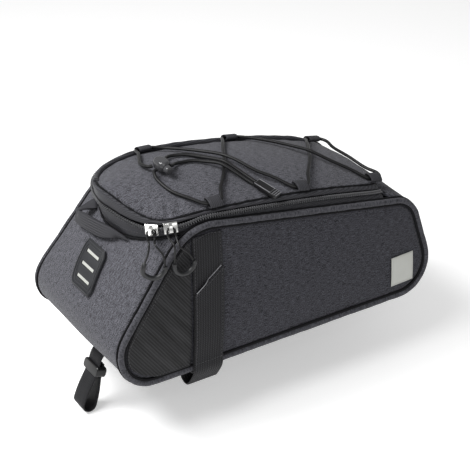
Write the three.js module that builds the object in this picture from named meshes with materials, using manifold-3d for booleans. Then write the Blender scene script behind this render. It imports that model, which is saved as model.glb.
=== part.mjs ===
// Bicycle rack bag: a sewn trunk bag of about 8 litres, shown strapped on its rack.
// Millimetres. +X runs from the rear end to the front end, -Y is the near side, +Z is up.
// The origin is the middle of the underside of the base, where the bag sits on the rack deck.
import * as THREE from 'three';
import { mergeVertices } from 'three/addons/utils/BufferGeometryUtils.js';
import Module from 'manifold-3d';

const wasm = await Module();
wasm.setup();

// Overall form of the body
const BODY_LENGTH = 345; // rear edge of the side piping to its front edge
const BASE_WIDTH = 170.8; // between the middles of the two pipings at the base
const SIDE_LEAN = 0.097; // how far a side panel leans in for each mm of height
const REAR_RAKE = 0.787; // how far the rear end leans forward for each mm of height
const FRONT_RAKE = 0.29; // how far the front end leans back for each mm of height
const REAR_TOP_HEIGHT = 143.5; // height where the rear line and the top line would meet
const FRONT_TOP_HEIGHT = 102; // height where the front line and the top line would meet
const REAR_BASE_RADIUS = 34; // rounding of the rear end into the base
const REAR_TOP_RADIUS = 50; // rounding of the rear end into the top
const FRONT_TOP_RADIUS = 32; // rounding of the top into the front end
const FRONT_BASE_RADIUS = 36; // rounding of the front end into the base
const SIDE_BULGE = 5; // how far the padded side panel stands out in its middle
const REAR_CROWN = 9; // how far the rear panel stands out in its middle
const FRONT_CROWN = 3; // how far the front panel stands out in its middle

// Walls and seams
const PANEL_WALL = 3; // padded panels
const BASE_WALL = 3.5; // base panel with its board
const LID_WALL = 4; // padded lid
const TAPE_WALL = 1.2; // zip tape and its rain flap
const SKIN_WALL = 1; // coated guard on a side panel
const PIPING_DIAMETER = 6.6;
const SEAM_GAP = 0.3; // clearance that sewn neighbours keep
const LAYER_GAP = 0.9; // clearance that a piece keeps to the curved panel it lies on

// Lid and zip
const LID_WIDTH = 129; // widest, between its two side seams
const LID_LENGTH = 273.5;
const LID_REAR = -139; // rear edge in its middle
const LID_REAR_HEIGHT = REAR_TOP_HEIGHT + 18; // seam height in the middle of the rear edge
const LID_FRONT_HEIGHT = 114; // seam height at the front edge
const LID_CROWN = 17; // most that the middle of the lid stands above its seams
const LID_EDGE_SHAPE = 2.1; // how square the crown is across the lid
const COIL_DIAMETER = 3.6;
const SKIRT_BOTTOM = REAR_TOP_HEIGHT - 27.5; // bottom edge of the zip band in the middle of the rear end
const SKIRT_RISE = 16; // how much higher that edge is near the corners
const RIM_REACH = 3.6; // the upper tape runs out level from the lid by this
const ZIP_BULGE_SIDE = 2.4; // how far the zip line stands out between its two edges
const ZIP_BULGE_CORNER = 5;
const ZIP_BULGE_REAR = 3;

// Straps and small parts
const STRAP_WIDTH = 30; // hook and loop side strap
const STRAP_WALL = 1.6;
const STRAP_REAR_GAP = 76.5; // from the rear end of the piping to the strap's rear edge
const STRAP_SLANT = 0.07; // how far the strap runs back for each mm that it goes down
const RAIL_ROOM = 17; // free space for the rack rail inside a strap's loop
const RAIL_INSET = 11.5; // from the middle of the piping in to the middle of the rail
const HEM_LOW = 78; // the slanted cut end of the returning layer
const HEM_HIGH = 99;
const GUARD_GAP = 2; // between the corner guard and the strap
const HANDLE_WALL = 1.8;
const LABEL_WIDTH = 27;
const LABEL_HEIGHT = 30;
const LABEL_WALL = 0.8;
const LABEL_FRONT_GAP = 34.5; // from the middle of the label to the front end
const LABEL_LIFT = 31; // middle of the label above the base
const PATCH_WIDTH = 36;
const PATCH_HEIGHT = 33; // measured straight up
const PATCH_WALL = 2;
const PATCH_SHEAR = 0.27; // how far the patch leans sideways for each mm of height
const PATCH_LIFT = 77.5; // middle of the patch above the base
const PATCH_CORNER = 3;
const SLOT_COUNT = 3;
const SLOT_LENGTH = 22;
const SLOT_HEIGHT = 3;
const SLOT_PITCH = 9; // measured straight up
const CORD_DIAMETER = 3.2; // elastic lashing cord
const CORD_LIFT = 0.6; // the cord clears the lid by this
const TAB_WIDTH = 13; // webbing loop that the cord runs through
const TAB_WALL = 0.9;
const TAB_REACH = 12.6; // across the seam
const TAB_STATIONS = [-62, 32, 123.5];
const LOCK_LENGTH = 18;
const LOCK_WIDTH = 12;
const LOCK_HEIGHT = 10.5;
const LOCK_PLACE = [-80.5, -4.5];
const BUTTON_DIAMETER = 8;
const BUTTON_HEIGHT = 5.5;
const CORD_END_LENGTH = 25;
const CORD_END_WIDTH = 10.4;
const CORD_END_HEIGHT = 4.4;
const SLIDER_LENGTH = 12;
const SLIDER_WIDTH = 10.5;
const SLIDER_WALL = 1.4;
const PULL_CORD_DIAMETER = 1.8;
const GRIP_DIAMETER = 4.2;
const REAR_STRAP_WIDTH = 20;
const REAR_STRAP_WALL = 1.5;
const REAR_STRAP_DROP = 66; // lowest point below the base
const REAR_STRAP_RAKE = 0.36; // how far it runs back for each mm that it drops
const CROSSBAR_ROOM = 12; // free space for the rack's crossbar inside its loop
const BUCKLE_WIDTH = 26;
const BUCKLE_HEIGHT = 10;
const BUCKLE_WALL = 2;
const BUCKLE_DROP = 25; // middle of the buckle below the base

// Finishes
const cloth = (color) => new THREE.MeshStandardMaterial({ color, roughness: 0.9, metalness: 0 });
const lightHeather = cloth(0x5a5a5f);
const darkHeather = cloth(0x3d3d42);
const pipingCloth = cloth(0x66666b);
const tapeCloth = cloth(0x2e2e2c);
const webbing = cloth(0x262628);
const cordCloth = cloth(0x2a2a2c);
const coatedCloth = new THREE.MeshStandardMaterial({ color: 0x1c1c1d, roughness: 0.5, metalness: 0 });
const blackPlastic = new THREE.MeshStandardMaterial({ color: 0x1a1a1b, roughness: 0.4, metalness: 0 });
const greyRubber = new THREE.MeshStandardMaterial({ color: 0x3b3c40, roughness: 0.6, metalness: 0 });
const reflectiveFilm = new THREE.MeshStandardMaterial({ color: 0xb9b9b5, roughness: 0.35, metalness: 0.2 });
const brightMetal = new THREE.MeshStandardMaterial({ color: 0xd6d6d6, roughness: 0.2, metalness: 1 });

const bag = new THREE.Group();

function addPiece(name, geometry, material) {
  const mesh = new THREE.Mesh(geometry, material.clone());
  mesh.name = name;
  bag.add(mesh);
}

const mix = (a, b, t) => a + (b - a) * t;
const vec = (x, y, z) => new THREE.Vector3(x, y, z);
const shares = (count) => Array.from({ length: count }, (_, i) => i / (count - 1));
const clamp = (value, low, high) => Math.min(high, Math.max(low, value));

// Height of a table of [place, value] rows at a place between them
function lookUp(rows, place) {
  const last = rows.length - 1;
  if (place <= rows[0][0]) return rows[0][1];
  if (place >= rows[last][0]) return rows[last][1];
  const i = rows.findIndex((row) => row[0] >= place);
  const [a, b] = [rows[i - 1], rows[i]];
  return mix(a[1], b[1], (place - a[0]) / (b[0] - a[0]));
}

// A closed geometry from points and faces, turned so that its faces point out
function closedGeometry(points, faces) {
  let volume = 0;
  for (const [a, b, c] of faces) volume += points[a].dot(vec().crossVectors(points[b], points[c]));
  const index = volume > 0 ? faces.flat() : faces.flatMap(([a, b, c]) => [a, c, b]);
  const geometry = new THREE.BufferGeometry();
  geometry.setAttribute('position', new THREE.Float32BufferAttribute(points.flatMap((p) => p.toArray()), 3));
  geometry.setIndex(index);
  return geometry;
}

// A wall between two grids of points with the same rows and columns
function wallBetween(front, back) {
  const rows = front.length;
  const cols = front[0].length;
  const points = [...front.flat(), ...back.flat()];
  const half = rows * cols;
  const faces = [];
  const quad = (a, b, c, d) => faces.push([a, b, c], [a, c, d]);
  for (let i = 0; i + 1 < rows; i++) {
    for (let j = 0; j + 1 < cols; j++) {
      const a = i * cols + j;
      quad(a, a + 1, a + cols + 1, a + cols);
      quad(half + a, half + a + cols, half + a + cols + 1, half + a + 1);
    }
  }
  for (let i = 0; i + 1 < rows; i++) {
    const left = i * cols;
    const right = left + cols - 1;
    quad(left, left + cols, half + left + cols, half + left);
    quad(right, half + right, half + right + cols, right + cols);
  }
  for (let j = 0; j + 1 < cols; j++) {
    const top = (rows - 1) * cols + j;
    quad(j, half + j, half + j + 1, j + 1);
    quad(top, top + 1, half + top + 1, half + top);
  }
  return closedGeometry(points, faces);
}

// Unit normals of a grid of points, on the side that the pointer is on
function gridNormals(grid, pointer) {
  const rows = grid.length;
  const cols = grid[0].length;
  return grid.map((row, i) => row.map((point, j) => {
    const down = grid[Math.min(i + 1, rows - 1)][j].clone().sub(grid[Math.max(i - 1, 0)][j]);
    const across = row[Math.min(j + 1, cols - 1)].clone().sub(row[Math.max(j - 1, 0)]);
    const normal = down.cross(across).normalize();
    return normal.dot(pointer(point)) < 0 ? normal.negate() : normal;
  }));
}

// A wall whose outer face is the grid, and whose inner face lies one thickness in from it
function panelWall(grid, thickness, pointer) {
  const normals = gridNormals(grid, pointer);
  const back = grid.map((row, i) => row.map((p, j) => p.clone().addScaledVector(normals[i][j], -thickness)));
  return wallBetween(grid, back);
}

// A skin that lies on a grid of points, from one height above it to another
function skinOn(grid, low, high, pointer) {
  const normals = gridNormals(grid, pointer);
  const lift = (by) => grid.map((row, i) => row.map((p, j) => p.clone().addScaledVector(normals[i][j], by)));
  return wallBetween(lift(high), lift(low));
}

// A closed shell made of rings round a middle point, outer ring first, with a front and a back layer
function ringShell(ring, middle, ringShares, onSurface, behind) {
  const count = ring.length;
  const layer = (place) => {
    const rings = ringShares.map((share) => ring.map((p) => place(mix(middle.u, p.u, share), mix(middle.v, p.v, share))));
    return [...rings.flat(), place(middle.u, middle.v)];
  };
  const [front, back] = [layer(onSurface), layer(behind)];
  const half = front.length;
  const faces = [];
  const quad = (a, b, c, d) => faces.push([a, b, c], [a, c, d]);
  for (let j = 0; j < count; j++) {
    const k = (j + 1) % count;
    for (let r = 0; r + 1 < ringShares.length; r++) {
      const [a, b] = [r * count, (r + 1) * count];
      quad(a + j, a + k, b + k, b + j);
      quad(half + a + j, half + b + j, half + b + k, half + a + k);
    }
    const inner = (ringShares.length - 1) * count;
    faces.push([inner + j, inner + k, half - 1]);
    faces.push([half + inner + j, 2 * half - 1, half + inner + k]);
    quad(k, j, half + j, half + k);
  }
  return closedGeometry([...front, ...back], faces);
}

const outward = (point) => point.clone().sub(vec(0, 0, REAR_TOP_HEIGHT / 2));

// A round tube with flat ends
function openTube(points, diameter, sides, steps) {
  const section = new THREE.Shape();
  for (let k = 0; k < sides; k++) {
    const angle = (2 * Math.PI * k) / sides;
    const [u, v] = [Math.cos(angle) * diameter / 2, Math.sin(angle) * diameter / 2];
    if (k === 0) section.moveTo(u, v);
    else section.lineTo(u, v);
  }
  const path = new THREE.CatmullRomCurve3(points, false, 'centripetal');
  return new THREE.ExtrudeGeometry(section, { steps, extrudePath: path, curveSegments: 1 });
}

// An oval drawn as a closed run of straight pieces
function drawOval(path, x, y, halfWidth, halfHeight, count) {
  for (let k = 0; k < count; k++) {
    const angle = (2 * Math.PI * (k + 0.5)) / count;
    const place = [x + halfWidth * Math.cos(angle), y + halfHeight * Math.sin(angle)];
    if (k === 0) path.moveTo(...place);
    else path.lineTo(...place);
  }
  path.closePath();
  return path;
}

// A geometry as a manifold-3d solid, and back
function toSolid(geometry) {
  const bare = geometry.clone();
  for (const name of ['normal', 'uv']) bare.deleteAttribute(name);
  const merged = mergeVertices(bare, 1e-4);
  const vertProperties = new Float32Array(merged.getAttribute('position').array);
  const index = merged.getIndex().array;
  const kept = [];
  for (let i = 0; i < index.length; i += 3) {
    const [a, b, c] = index.slice(i, i + 3);
    if (a !== b && b !== c && c !== a) kept.push(a, b, c);
  }
  return new wasm.Manifold(new wasm.Mesh({ numProp: 3, vertProperties, triVerts: new Uint32Array(kept) }));
}

function toGeometry(solid) {
  const { vertProperties, triVerts } = solid.getMesh();
  const geometry = new THREE.BufferGeometry();
  geometry.setAttribute('position', new THREE.BufferAttribute(new Float32Array(vertProperties), 3));
  geometry.setIndex(new THREE.BufferAttribute(new Uint32Array(triVerts), 1));
  return geometry;
}

// A plate with rounded corners, lying in XY and centred on the origin, with a rounded edge
function roundedPlate(length, width, height, corner, edge) {
  const shape = new THREE.Shape();
  const [a, b] = [length / 2 - edge, width / 2 - edge];
  const r = Math.min(corner, a, b);
  shape.moveTo(-a + r, -b);
  shape.lineTo(a - r, -b);
  shape.absarc(a - r, -b + r, r, -Math.PI / 2, 0);
  shape.absarc(a - r, b - r, r, 0, Math.PI / 2);
  shape.absarc(-a + r, b - r, r, Math.PI / 2, Math.PI);
  shape.absarc(-a + r, -b + r, r, Math.PI, 1.5 * Math.PI);
  const geometry = new THREE.ExtrudeGeometry(shape, {
    depth: height - 2 * edge, bevelEnabled: true, bevelSize: edge, bevelThickness: edge, bevelSegments: 1,
    curveSegments: 3,
  });
  return geometry.translate(0, 0, edge - height / 2);
}

// Side outline of the body in X and Z, a four-cornered figure with round corners
const halfLength = BODY_LENGTH / 2;
const rearAngle = Math.PI / 2 - Math.atan(REAR_RAKE);
const frontAngle = Math.PI / 2 - Math.atan(FRONT_RAKE);
const rearBase = -halfLength + REAR_BASE_RADIUS - REAR_BASE_RADIUS / Math.tan(rearAngle / 2);
const frontBase = halfLength - FRONT_BASE_RADIUS + FRONT_BASE_RADIUS / Math.tan(frontAngle / 2);
const outlineCorners = [
  { x: rearBase, z: 0, radius: REAR_BASE_RADIUS, straight: 6 },
  { x: frontBase, z: 0, radius: FRONT_BASE_RADIUS, straight: 1 },
  { x: frontBase - FRONT_RAKE * FRONT_TOP_HEIGHT, z: FRONT_TOP_HEIGHT, radius: FRONT_TOP_RADIUS, straight: 5 },
  { x: rearBase + REAR_RAKE * REAR_TOP_HEIGHT, z: REAR_TOP_HEIGHT, radius: REAR_TOP_RADIUS, straight: 2 },
];
const ARC_STEPS = 6;

// The arcs and straights of the outline, drawn in by an inset; one list of points for each corner's arc
function outlineArcs(inset) {
  const count = outlineCorners.length;
  return outlineCorners.map((corner, i) => {
    const before = outlineCorners[(i + count - 1) % count];
    const after = outlineCorners[(i + 1) % count];
    const back = new THREE.Vector2(before.x - corner.x, before.z - corner.z).normalize();
    const ahead = new THREE.Vector2(after.x - corner.x, after.z - corner.z).normalize();
    const half = Math.acos(clamp(back.dot(ahead), -1, 1)) / 2;
    const bisector = back.clone().add(ahead).normalize();
    const centre = bisector.multiplyScalar(corner.radius / Math.sin(half)).add(new THREE.Vector2(corner.x, corner.z));
    const start = Math.atan2(-back.x, back.y);
    const sweep = Math.PI - 2 * half;
    const radius = Math.max(corner.radius - inset, 1);
    return shares(ARC_STEPS + 1).map((t) => {
      const angle = start + Math.PI + sweep * t;
      return { x: centre.x + radius * Math.cos(angle), z: centre.y + radius * Math.sin(angle) };
    });
  });
}

function outlineLoop(inset) {
  const arcs = outlineArcs(inset);
  return arcs.flatMap((arc, i) => {
    const from = arc[arc.length - 1];
    const to = arcs[(i + 1) % arcs.length][0];
    const pieces = outlineCorners[i].straight;
    const inner = shares(pieces + 1).slice(1, -1).map((t) => ({ x: mix(from.x, to.x, t), z: mix(from.z, to.z, t) }));
    return [...arc, ...inner];
  });
}

const sideHalf = (z) => BASE_WIDTH / 2 - SIDE_LEAN * z; // middle of the piping from the centre plane
const innerHalf = (z) => sideHalf(z) - PIPING_DIAMETER / 2 - 2 * SEAM_GAP;
const panelLoop = outlineLoop(PIPING_DIAMETER + 2 * SEAM_GAP);
const panelCentre = { x: 0, z: FRONT_TOP_HEIGHT * 0.58 };

// How far out a place on the side lies, 0 at the middle of the panel and 1 at its edge
function sideReach(x, z) {
  let reach = 0;
  panelLoop.forEach((p, i) => {
    const q = panelLoop[(i + 1) % panelLoop.length];
    const normal = { x: q.z - p.z, z: p.x - q.x };
    const edge = normal.x * (p.x - panelCentre.x) + normal.z * (p.z - panelCentre.z);
    const place = normal.x * (x - panelCentre.x) + normal.z * (z - panelCentre.z);
    reach = Math.max(reach, place / edge);
  });
  return reach;
}

// Distance of the side panel's outer face from the centre plane
const sideFace = (x, z) => sideHalf(z) + SIDE_BULGE * (1 - Math.min(sideReach(x, z), 1) ** 2.5);

// Side panels
function sidePanel(side) {
  const ring = panelLoop.map((p) => ({ u: p.x, v: p.z }));
  const middle = { u: panelCentre.x, v: panelCentre.z };
  const face = (x, z) => vec(x, side * sideFace(x, z), z);
  const back = (x, z) => vec(x, side * (sideFace(x, z) - PANEL_WALL), z);
  return ringShell(ring, middle, [1, 0.9, 0.72, 0.42], face, back);
}

// Piping round the edge of a side panel
function sidePiping(side) {
  const points = outlineLoop(PIPING_DIAMETER / 2).map((p) => vec(p.x, side * sideHalf(p.z), p.z));
  const path = new THREE.CatmullRomCurve3(points, true, 'centripetal');
  return new THREE.TubeGeometry(path, 62, PIPING_DIAMETER / 2, 6, true);
}

// Strap edges at a height, and the guard behind the strap
const strapMiddle = (z) => -halfLength + STRAP_REAR_GAP + STRAP_WIDTH / 2 - STRAP_SLANT * (REAR_TOP_HEIGHT / 2 - z);
const strapRear = (z) => strapMiddle(z) - STRAP_WIDTH / 2;

// Rear edge of the outline at a height, in from the piping
const rearEdgeRows = (() => {
  const arcs = outlineArcs(PIPING_DIAMETER + SEAM_GAP + 0.5);
  const climb = [...arcs[0].slice().reverse(), ...arcs[3].slice().reverse()];
  return climb.map((p) => [p.z, p.x]).sort((a, b) => a[0] - b[0]);
})();
const rearEdge = (z) => lookUp(rearEdgeRows, z);

function cornerGuard(side) {
  const low = rearEdgeRows[0][0];
  let high = REAR_TOP_HEIGHT;
  while (rearEdge(high) > strapRear(high) - 2 * GUARD_GAP) high -= 0.5;
  const grid = shares(10).map((t) => {
    const z = mix(low, high, t);
    const [from, to] = [rearEdge(z), strapRear(z) - GUARD_GAP];
    return shares(5).map((s) => {
      const x = mix(from, to, s);
      return vec(x, side * sideFace(x, z), z);
    });
  });
  return skinOn(grid, LAYER_GAP, LAYER_GAP + SKIN_WALL, () => vec(0, side, 0));
}

// Label at the lower front corner of the near side, left bare
function sideLabel() {
  const middle = halfLength - LABEL_FRONT_GAP;
  const grid = shares(4).map((t) => {
    const z = LABEL_LIFT + LABEL_HEIGHT * (t - 0.5);
    return shares(4).map((s) => {
      const x = middle + LABEL_WIDTH * (s - 0.5);
      return vec(x, -sideFace(x, z), z);
    });
  });
  return skinOn(grid, LAYER_GAP, LAYER_GAP + LABEL_WALL, () => vec(0, -1, 0));
}

// A path in X and Z with its length, and the point and outward normal at a length
function measuredPath(points) {
  const lengths = [0];
  for (let i = 1; i < points.length; i++) {
    lengths.push(lengths[i - 1] + Math.hypot(points[i].x - points[i - 1].x, points[i].z - points[i - 1].z));
  }
  const total = lengths[lengths.length - 1];
  const at = (length) => {
    const i = clamp(lengths.findIndex((value) => value >= length), 1, points.length - 1);
    const [a, b] = [points[i - 1], points[i]];
    const t = clamp((length - lengths[i - 1]) / (lengths[i] - lengths[i - 1]), 0, 1);
    return { x: mix(a.x, b.x, t), z: mix(a.z, b.z, t) };
  };
  const withNormal = (length) => {
    const [a, b] = [at(Math.max(length - 4, 0)), at(Math.min(length + 4, total))];
    const size = Math.hypot(b.x - a.x, b.z - a.z);
    return { ...at(length), nx: -(b.z - a.z) / size, nz: (b.x - a.x) / size };
  };
  return { total, at, withNormal };
}

const wrapArcs = outlineArcs(0);
const rearPath = measuredPath([...wrapArcs[0].slice().reverse(), ...wrapArcs[3].slice().reverse()]);
const frontPath = measuredPath([...wrapArcs[1], ...wrapArcs[2]]);
const rearStart = wrapArcs[0][ARC_STEPS].x;
const frontStart = wrapArcs[1][0].x;

// A point of a wrapped end panel: a length up its path, and a share of its half width
function wrapPoint(path, length, share, crown, flip) {
  const p = path.withNormal(length);
  const grow = clamp((p.z - 12) / 70, 0, 1);
  const out = crown * grow * grow * (3 - 2 * grow) * (1 - share * share) * flip;
  return vec(p.x + out * p.nx, share * innerHalf(p.z), p.z + out * p.nz);
}

// Lid surface
// Half of the lid's edge from its rear to its front, each value a share: place along the length, half width,
// height of the seam between the front and the rear height, and crown of the lid above the seam there
const LID_EDGE = [
  { along: 0, wide: 0, high: 1, crown: 0 },
  { along: 0.005, wide: 0.11, high: 0.98, crown: 0.09 },
  { along: 0.016, wide: 0.23, high: 0.92, crown: 0.24 },
  { along: 0.031, wide: 0.37, high: 0.83, crown: 0.5 },
  { along: 0.048, wide: 0.51, high: 0.75, crown: 0.74 },
  { along: 0.068, wide: 0.65, high: 0.68, crown: 0.9 },
  { along: 0.091, wide: 0.78, high: 0.64, crown: 1 },
  { along: 0.124, wide: 0.885, high: 0.65, crown: 0.97 },
  { along: 0.168, wide: 0.94, high: 0.68, crown: 0.88 },
  { along: 0.23, wide: 0.975, high: 0.705, crown: 0.79 },
  { along: 0.358, wide: 1, high: 0.663, crown: 0.76 },
  { along: 0.552, wide: 0.97, high: 0.526, crown: 0.7 },
  { along: 0.724, wide: 0.94, high: 0.358, crown: 0.59 },
  { along: 0.837, wide: 0.905, high: 0.21, crown: 0.5 },
  { along: 0.918, wide: 0.865, high: 0.08, crown: 0.41 },
  { along: 0.962, wide: 0.8, high: 0, crown: 0.32 },
  { along: 0.984, wide: 0.62, high: -0.01, crown: 0.19 },
  { along: 0.996, wide: 0.34, high: 0, crown: 0.07 },
  { along: 1, wide: 0, high: 0, crown: 0 },
];
const HINGE_ROW = 15; // from this row on the lid is sewn to the front panel
const edgeX = (row) => LID_REAR + LID_LENGTH * row.along;
const edgeY = (row) => (LID_WIDTH / 2) * row.wide;
const edgeShare = (key, x) => lookUp(LID_EDGE.map((row) => [edgeX(row), row[key]]), x);
const seamHeight = (x) => mix(LID_FRONT_HEIGHT, LID_REAR_HEIGHT, edgeShare('high', x));
const lidHalf = (x) => (LID_WIDTH / 2) * edgeShare('wide', x);
function lidHeight(x, y) {
  const reach = Math.min(Math.abs(y) / Math.max(lidHalf(x), 1), 1);
  const beyond = Math.max(Math.abs(y) - lidHalf(x), 0);
  return seamHeight(x) + LID_CROWN * edgeShare('crown', x) * (1 - reach ** LID_EDGE_SHAPE) - beyond / 2;
}

function lidPanel() {
  const near = LID_EDGE.map((row) => ({ u: edgeX(row), v: -edgeY(row) }));
  const far = LID_EDGE.slice(1, -1).reverse().map((row) => ({ u: edgeX(row), v: edgeY(row) }));
  const top = (x, y) => vec(x, y, lidHeight(x, y));
  const under = (x, y) => vec(x, y, lidHeight(x, y) - LID_WALL);
  return ringShell([...near, ...far], { u: -20, v: 0 }, [1, 0.9, 0.72, 0.48, 0.24], top, under);
}

// Bottom edge of the zip band over the rear end, a height for each distance from the centre plane
const skirtBottom = (y) => SKIRT_BOTTOM + SKIRT_RISE * (y / 66) ** 2;
const rearShare = (y, z) => clamp(y / innerHalf(z), -1, 1);
// Length up the rear panel where its surface reaches a height
function rearLengthAt(y, z) {
  let [low, high] = [0, rearPath.total];
  for (let k = 0; k < 24; k++) {
    const middle = (low + high) / 2;
    if (wrapPoint(rearPath, middle, rearShare(y, z), REAR_CROWN, 1).z < z) low = middle;
    else high = middle;
  }
  return low;
}
const rearSurface = (y, z) => wrapPoint(rearPath, rearLengthAt(y, z), rearShare(y, z), REAR_CROWN, 1);
const skirtX = (y) => rearSurface(y, skirtBottom(y)).x;

function rearPanel() {
  const across = shares(11).map((t) => 2 * t - 1);
  const columns = across.map((share) => {
    const y = share * innerHalf(skirtBottom(share * innerHalf(REAR_TOP_HEIGHT)));
    const top = rearLengthAt(y, skirtBottom(y) - TAPE_WALL);
    return shares(16).map((t) => wrapPoint(rearPath, t * top, share, REAR_CROWN, 1));
  });
  const grid = columns[0].map((_, i) => columns.map((column) => column[i]));
  return panelWall(grid, PANEL_WALL, outward);
}

function frontPanel() {
  const across = shares(9).map((t) => 2 * t - 1);
  const top = frontPath.total - 3;
  const grid = shares(12).map((t) => across.map((share) => wrapPoint(frontPath, t * top, share, FRONT_CROWN, -1)));
  grid.push(across.map((share, j) => {
    const y = grid[11][j].y;
    const front = LID_EDGE.slice(HINGE_ROW).reverse().map((row) => [edgeY(row), edgeX(row)]);
    const reach = Math.max(Math.abs(y) - front[front.length - 1][0], 0) / 20;
    const x = lookUp(front, Math.abs(y)) + 3 * SEAM_GAP;
    return vec(x + 6 * reach, y, mix(LID_FRONT_HEIGHT - LID_WALL - 2 * LAYER_GAP, bodyTop(x) - 1, clamp(reach, 0, 1)));
  }));
  return panelWall(grid, PANEL_WALL, outward);
}

function basePanel() {
  const half = innerHalf(BASE_WALL);
  const rows = [rearStart + 3 * SEAM_GAP, rearStart + 10, frontStart - 3 * SEAM_GAP];
  const across = [-half, -55, 55, half];
  const level = (z) => rows.map((x) => across.map((y) => vec(x, y, z)));
  return wallBetween(level(BASE_WALL), level(0));
}

// Zip band: for each station its bottom edge, the zip line and its top edge at the lid
const topRows = outlineLoop(0).filter((p) => p.z > FRONT_TOP_HEIGHT * 0.9).map((p) => [p.x, p.z]).sort((a, b) => a[0] - b[0]);
const bodyTop = (x) => lookUp(topRows, x);

// One station for a row of the lid's edge: the top lies beside the lid, the rim runs out level from it,
// the bottom lies on the body and the zip line bulges out between
function station(row, i) {
  const [x, y] = [edgeX(row), -edgeY(row)];
  const before = LID_EDGE[Math.max(i - 1, 0)];
  const after = LID_EDGE[i + 1];
  const start = i === 0 ? edgeY(after) : -edgeY(before);
  const out = vec(-edgeY(after) - start, edgeX(before) - edgeX(after), 0);
  if (i === 0) out.set(-1, 0, 0);
  out.normalize();
  const top = vec(x, y, seamHeight(x) - 0.5).addScaledVector(out, 5 * SEAM_GAP);
  const rim = top.clone().addScaledVector(out, RIM_REACH).add(vec(0, 0, -0.4));
  const onSide = row.along > 0.15;
  const low = bodyTop(x) - 1.2;
  const skirtY = y * (1.02 + 0.14 * (y / innerHalf(low)) ** 4);
  const bottom = onSide
    ? vec(x, -innerHalf(low) - 0.6, low)
    : vec(skirtX(skirtY) - 1.2, skirtY, skirtBottom(skirtY));
  const cornerShare = clamp(1 - Math.abs(row.along - 0.091) / 0.075, 0, 1);
  const bulge = mix(onSide ? ZIP_BULGE_SIDE : ZIP_BULGE_REAR, ZIP_BULGE_CORNER, cornerShare);
  const zip = bottom.clone().lerp(top, 0.56).addScaledVector(out, bulge).add(vec(0, 0, onSide ? 0 : 1.5));
  return { bottom, zip, rim, top };
}

const nearHalf = LID_EDGE.slice(0, HINGE_ROW + 1).map(station).reverse();
for (const point of Object.values(nearHalf[0])) point.x -= 2.5;
const flip = (p) => vec(p.x, -p.y, p.z);
const farHalf = nearHalf.slice(0, -1).reverse().map(({ bottom, zip, rim, top }) => (
  { bottom: flip(bottom), zip: flip(zip), rim: flip(rim), top: flip(top) }));
const stations = [...nearHalf, ...farHalf];

function zipTape(edge) {
  const clear = COIL_DIAMETER / 2 + 3 * SEAM_GAP;
  const grid = stations.map((row) => {
    const far = row[edge];
    const toward = edge === 'top' ? row.rim : far;
    const near = row.zip.clone().lerp(toward, clear / row.zip.distanceTo(toward));
    const middle = edge === 'top' ? row.rim : near.clone().lerp(far, 0.5);
    return [near, middle, far];
  });
  return panelWall(grid, TAPE_WALL, outward);
}

const zipLine = new THREE.CatmullRomCurve3(stations.map((row) => row.zip), false, 'centripetal');

function zipCoil() {
  return openTube(stations.map((row) => row.zip.clone()), COIL_DIAMETER, 6, 44);
}

// Side strap: one webbing that goes down the panel, round the rail and back up to its slanted cut end
function strapPath(side) {
  const loopRadius = (RAIL_ROOM + STRAP_WALL) / 2;
  const under = -(SEAM_GAP + 0.2 + STRAP_WALL / 2);
  const pipe = PIPING_DIAMETER / 2;
  const overPiping = sideHalf(pipe) + pipe + SEAM_GAP + 0.2 + STRAP_WALL / 2;
  const rail = { out: sideHalf(0) - RAIL_INSET, z: under - loopRadius };
  const layerStep = STRAP_WALL + 0.4;
  const onPanel = (z, layer) => ({ panel: z, layer });
  const rows = [];
  for (const t of shares(9)) rows.push(onPanel(mix(bodyTop(strapMiddle(120)) - PIPING_DIAMETER - 3, PIPING_DIAMETER + 3, t), 0));
  rows.push({ out: overPiping, z: pipe + 1 }, { out: overPiping - 0.3, z: pipe - 2.2 });
  rows.push({ out: overPiping - 2.2, z: under + 0.5 }, { out: overPiping - 5.5, z: under });
  for (const t of shares(9)) {
    const angle = Math.PI / 2 + t * 1.42 * Math.PI;
    rows.push({ out: rail.out + loopRadius * Math.cos(angle), z: rail.z + loopRadius * Math.sin(angle) });
  }
  rows.push({ out: overPiping - 0.5, z: -pipe }, { out: overPiping + layerStep, z: pipe });
  for (const t of shares(8)) rows.push({ panel: PIPING_DIAMETER + 3, reach: t, layer: 1 });
  return rows.map((row) => [0, 0.5, 1].map((s) => {
    const hem = mix(HEM_LOW, HEM_HIGH, s);
    const z = row.reach === undefined ? row.panel ?? row.z : mix(row.panel, hem, row.reach);
    const x = strapRear(Math.max(z, 0)) + STRAP_WIDTH * s;
    const lie = LAYER_GAP + STRAP_WALL / 2 + (row.layer ?? 0) * layerStep;
    const onFace = Math.max(sideFace(x, z) + lie, z < 2 * PIPING_DIAMETER ? overPiping + (row.layer ?? 0) * layerStep - 1.5 : 0);
    const out = row.panel === undefined ? row.out : onFace;
    return { x, y: side * out, z };
  }));
}

function foldedBand(rows, thickness) {
  const centre = rows.map((row) => row.map((p) => vec(p.x, p.y, p.z)));
  const normals = centre.map((row, i) => row.map((_, j) => {
    const ahead = centre[Math.min(i + 1, centre.length - 1)][j].clone().sub(centre[Math.max(i - 1, 0)][j]);
    const across = row[Math.min(j + 1, row.length - 1)].clone().sub(row[Math.max(j - 1, 0)]);
    return ahead.cross(across).normalize();
  }));
  const lift = (by) => centre.map((row, i) => row.map((p, j) => p.clone().addScaledVector(normals[i][j], by)));
  return wallBetween(lift(thickness / 2), lift(-thickness / 2));
}

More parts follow.
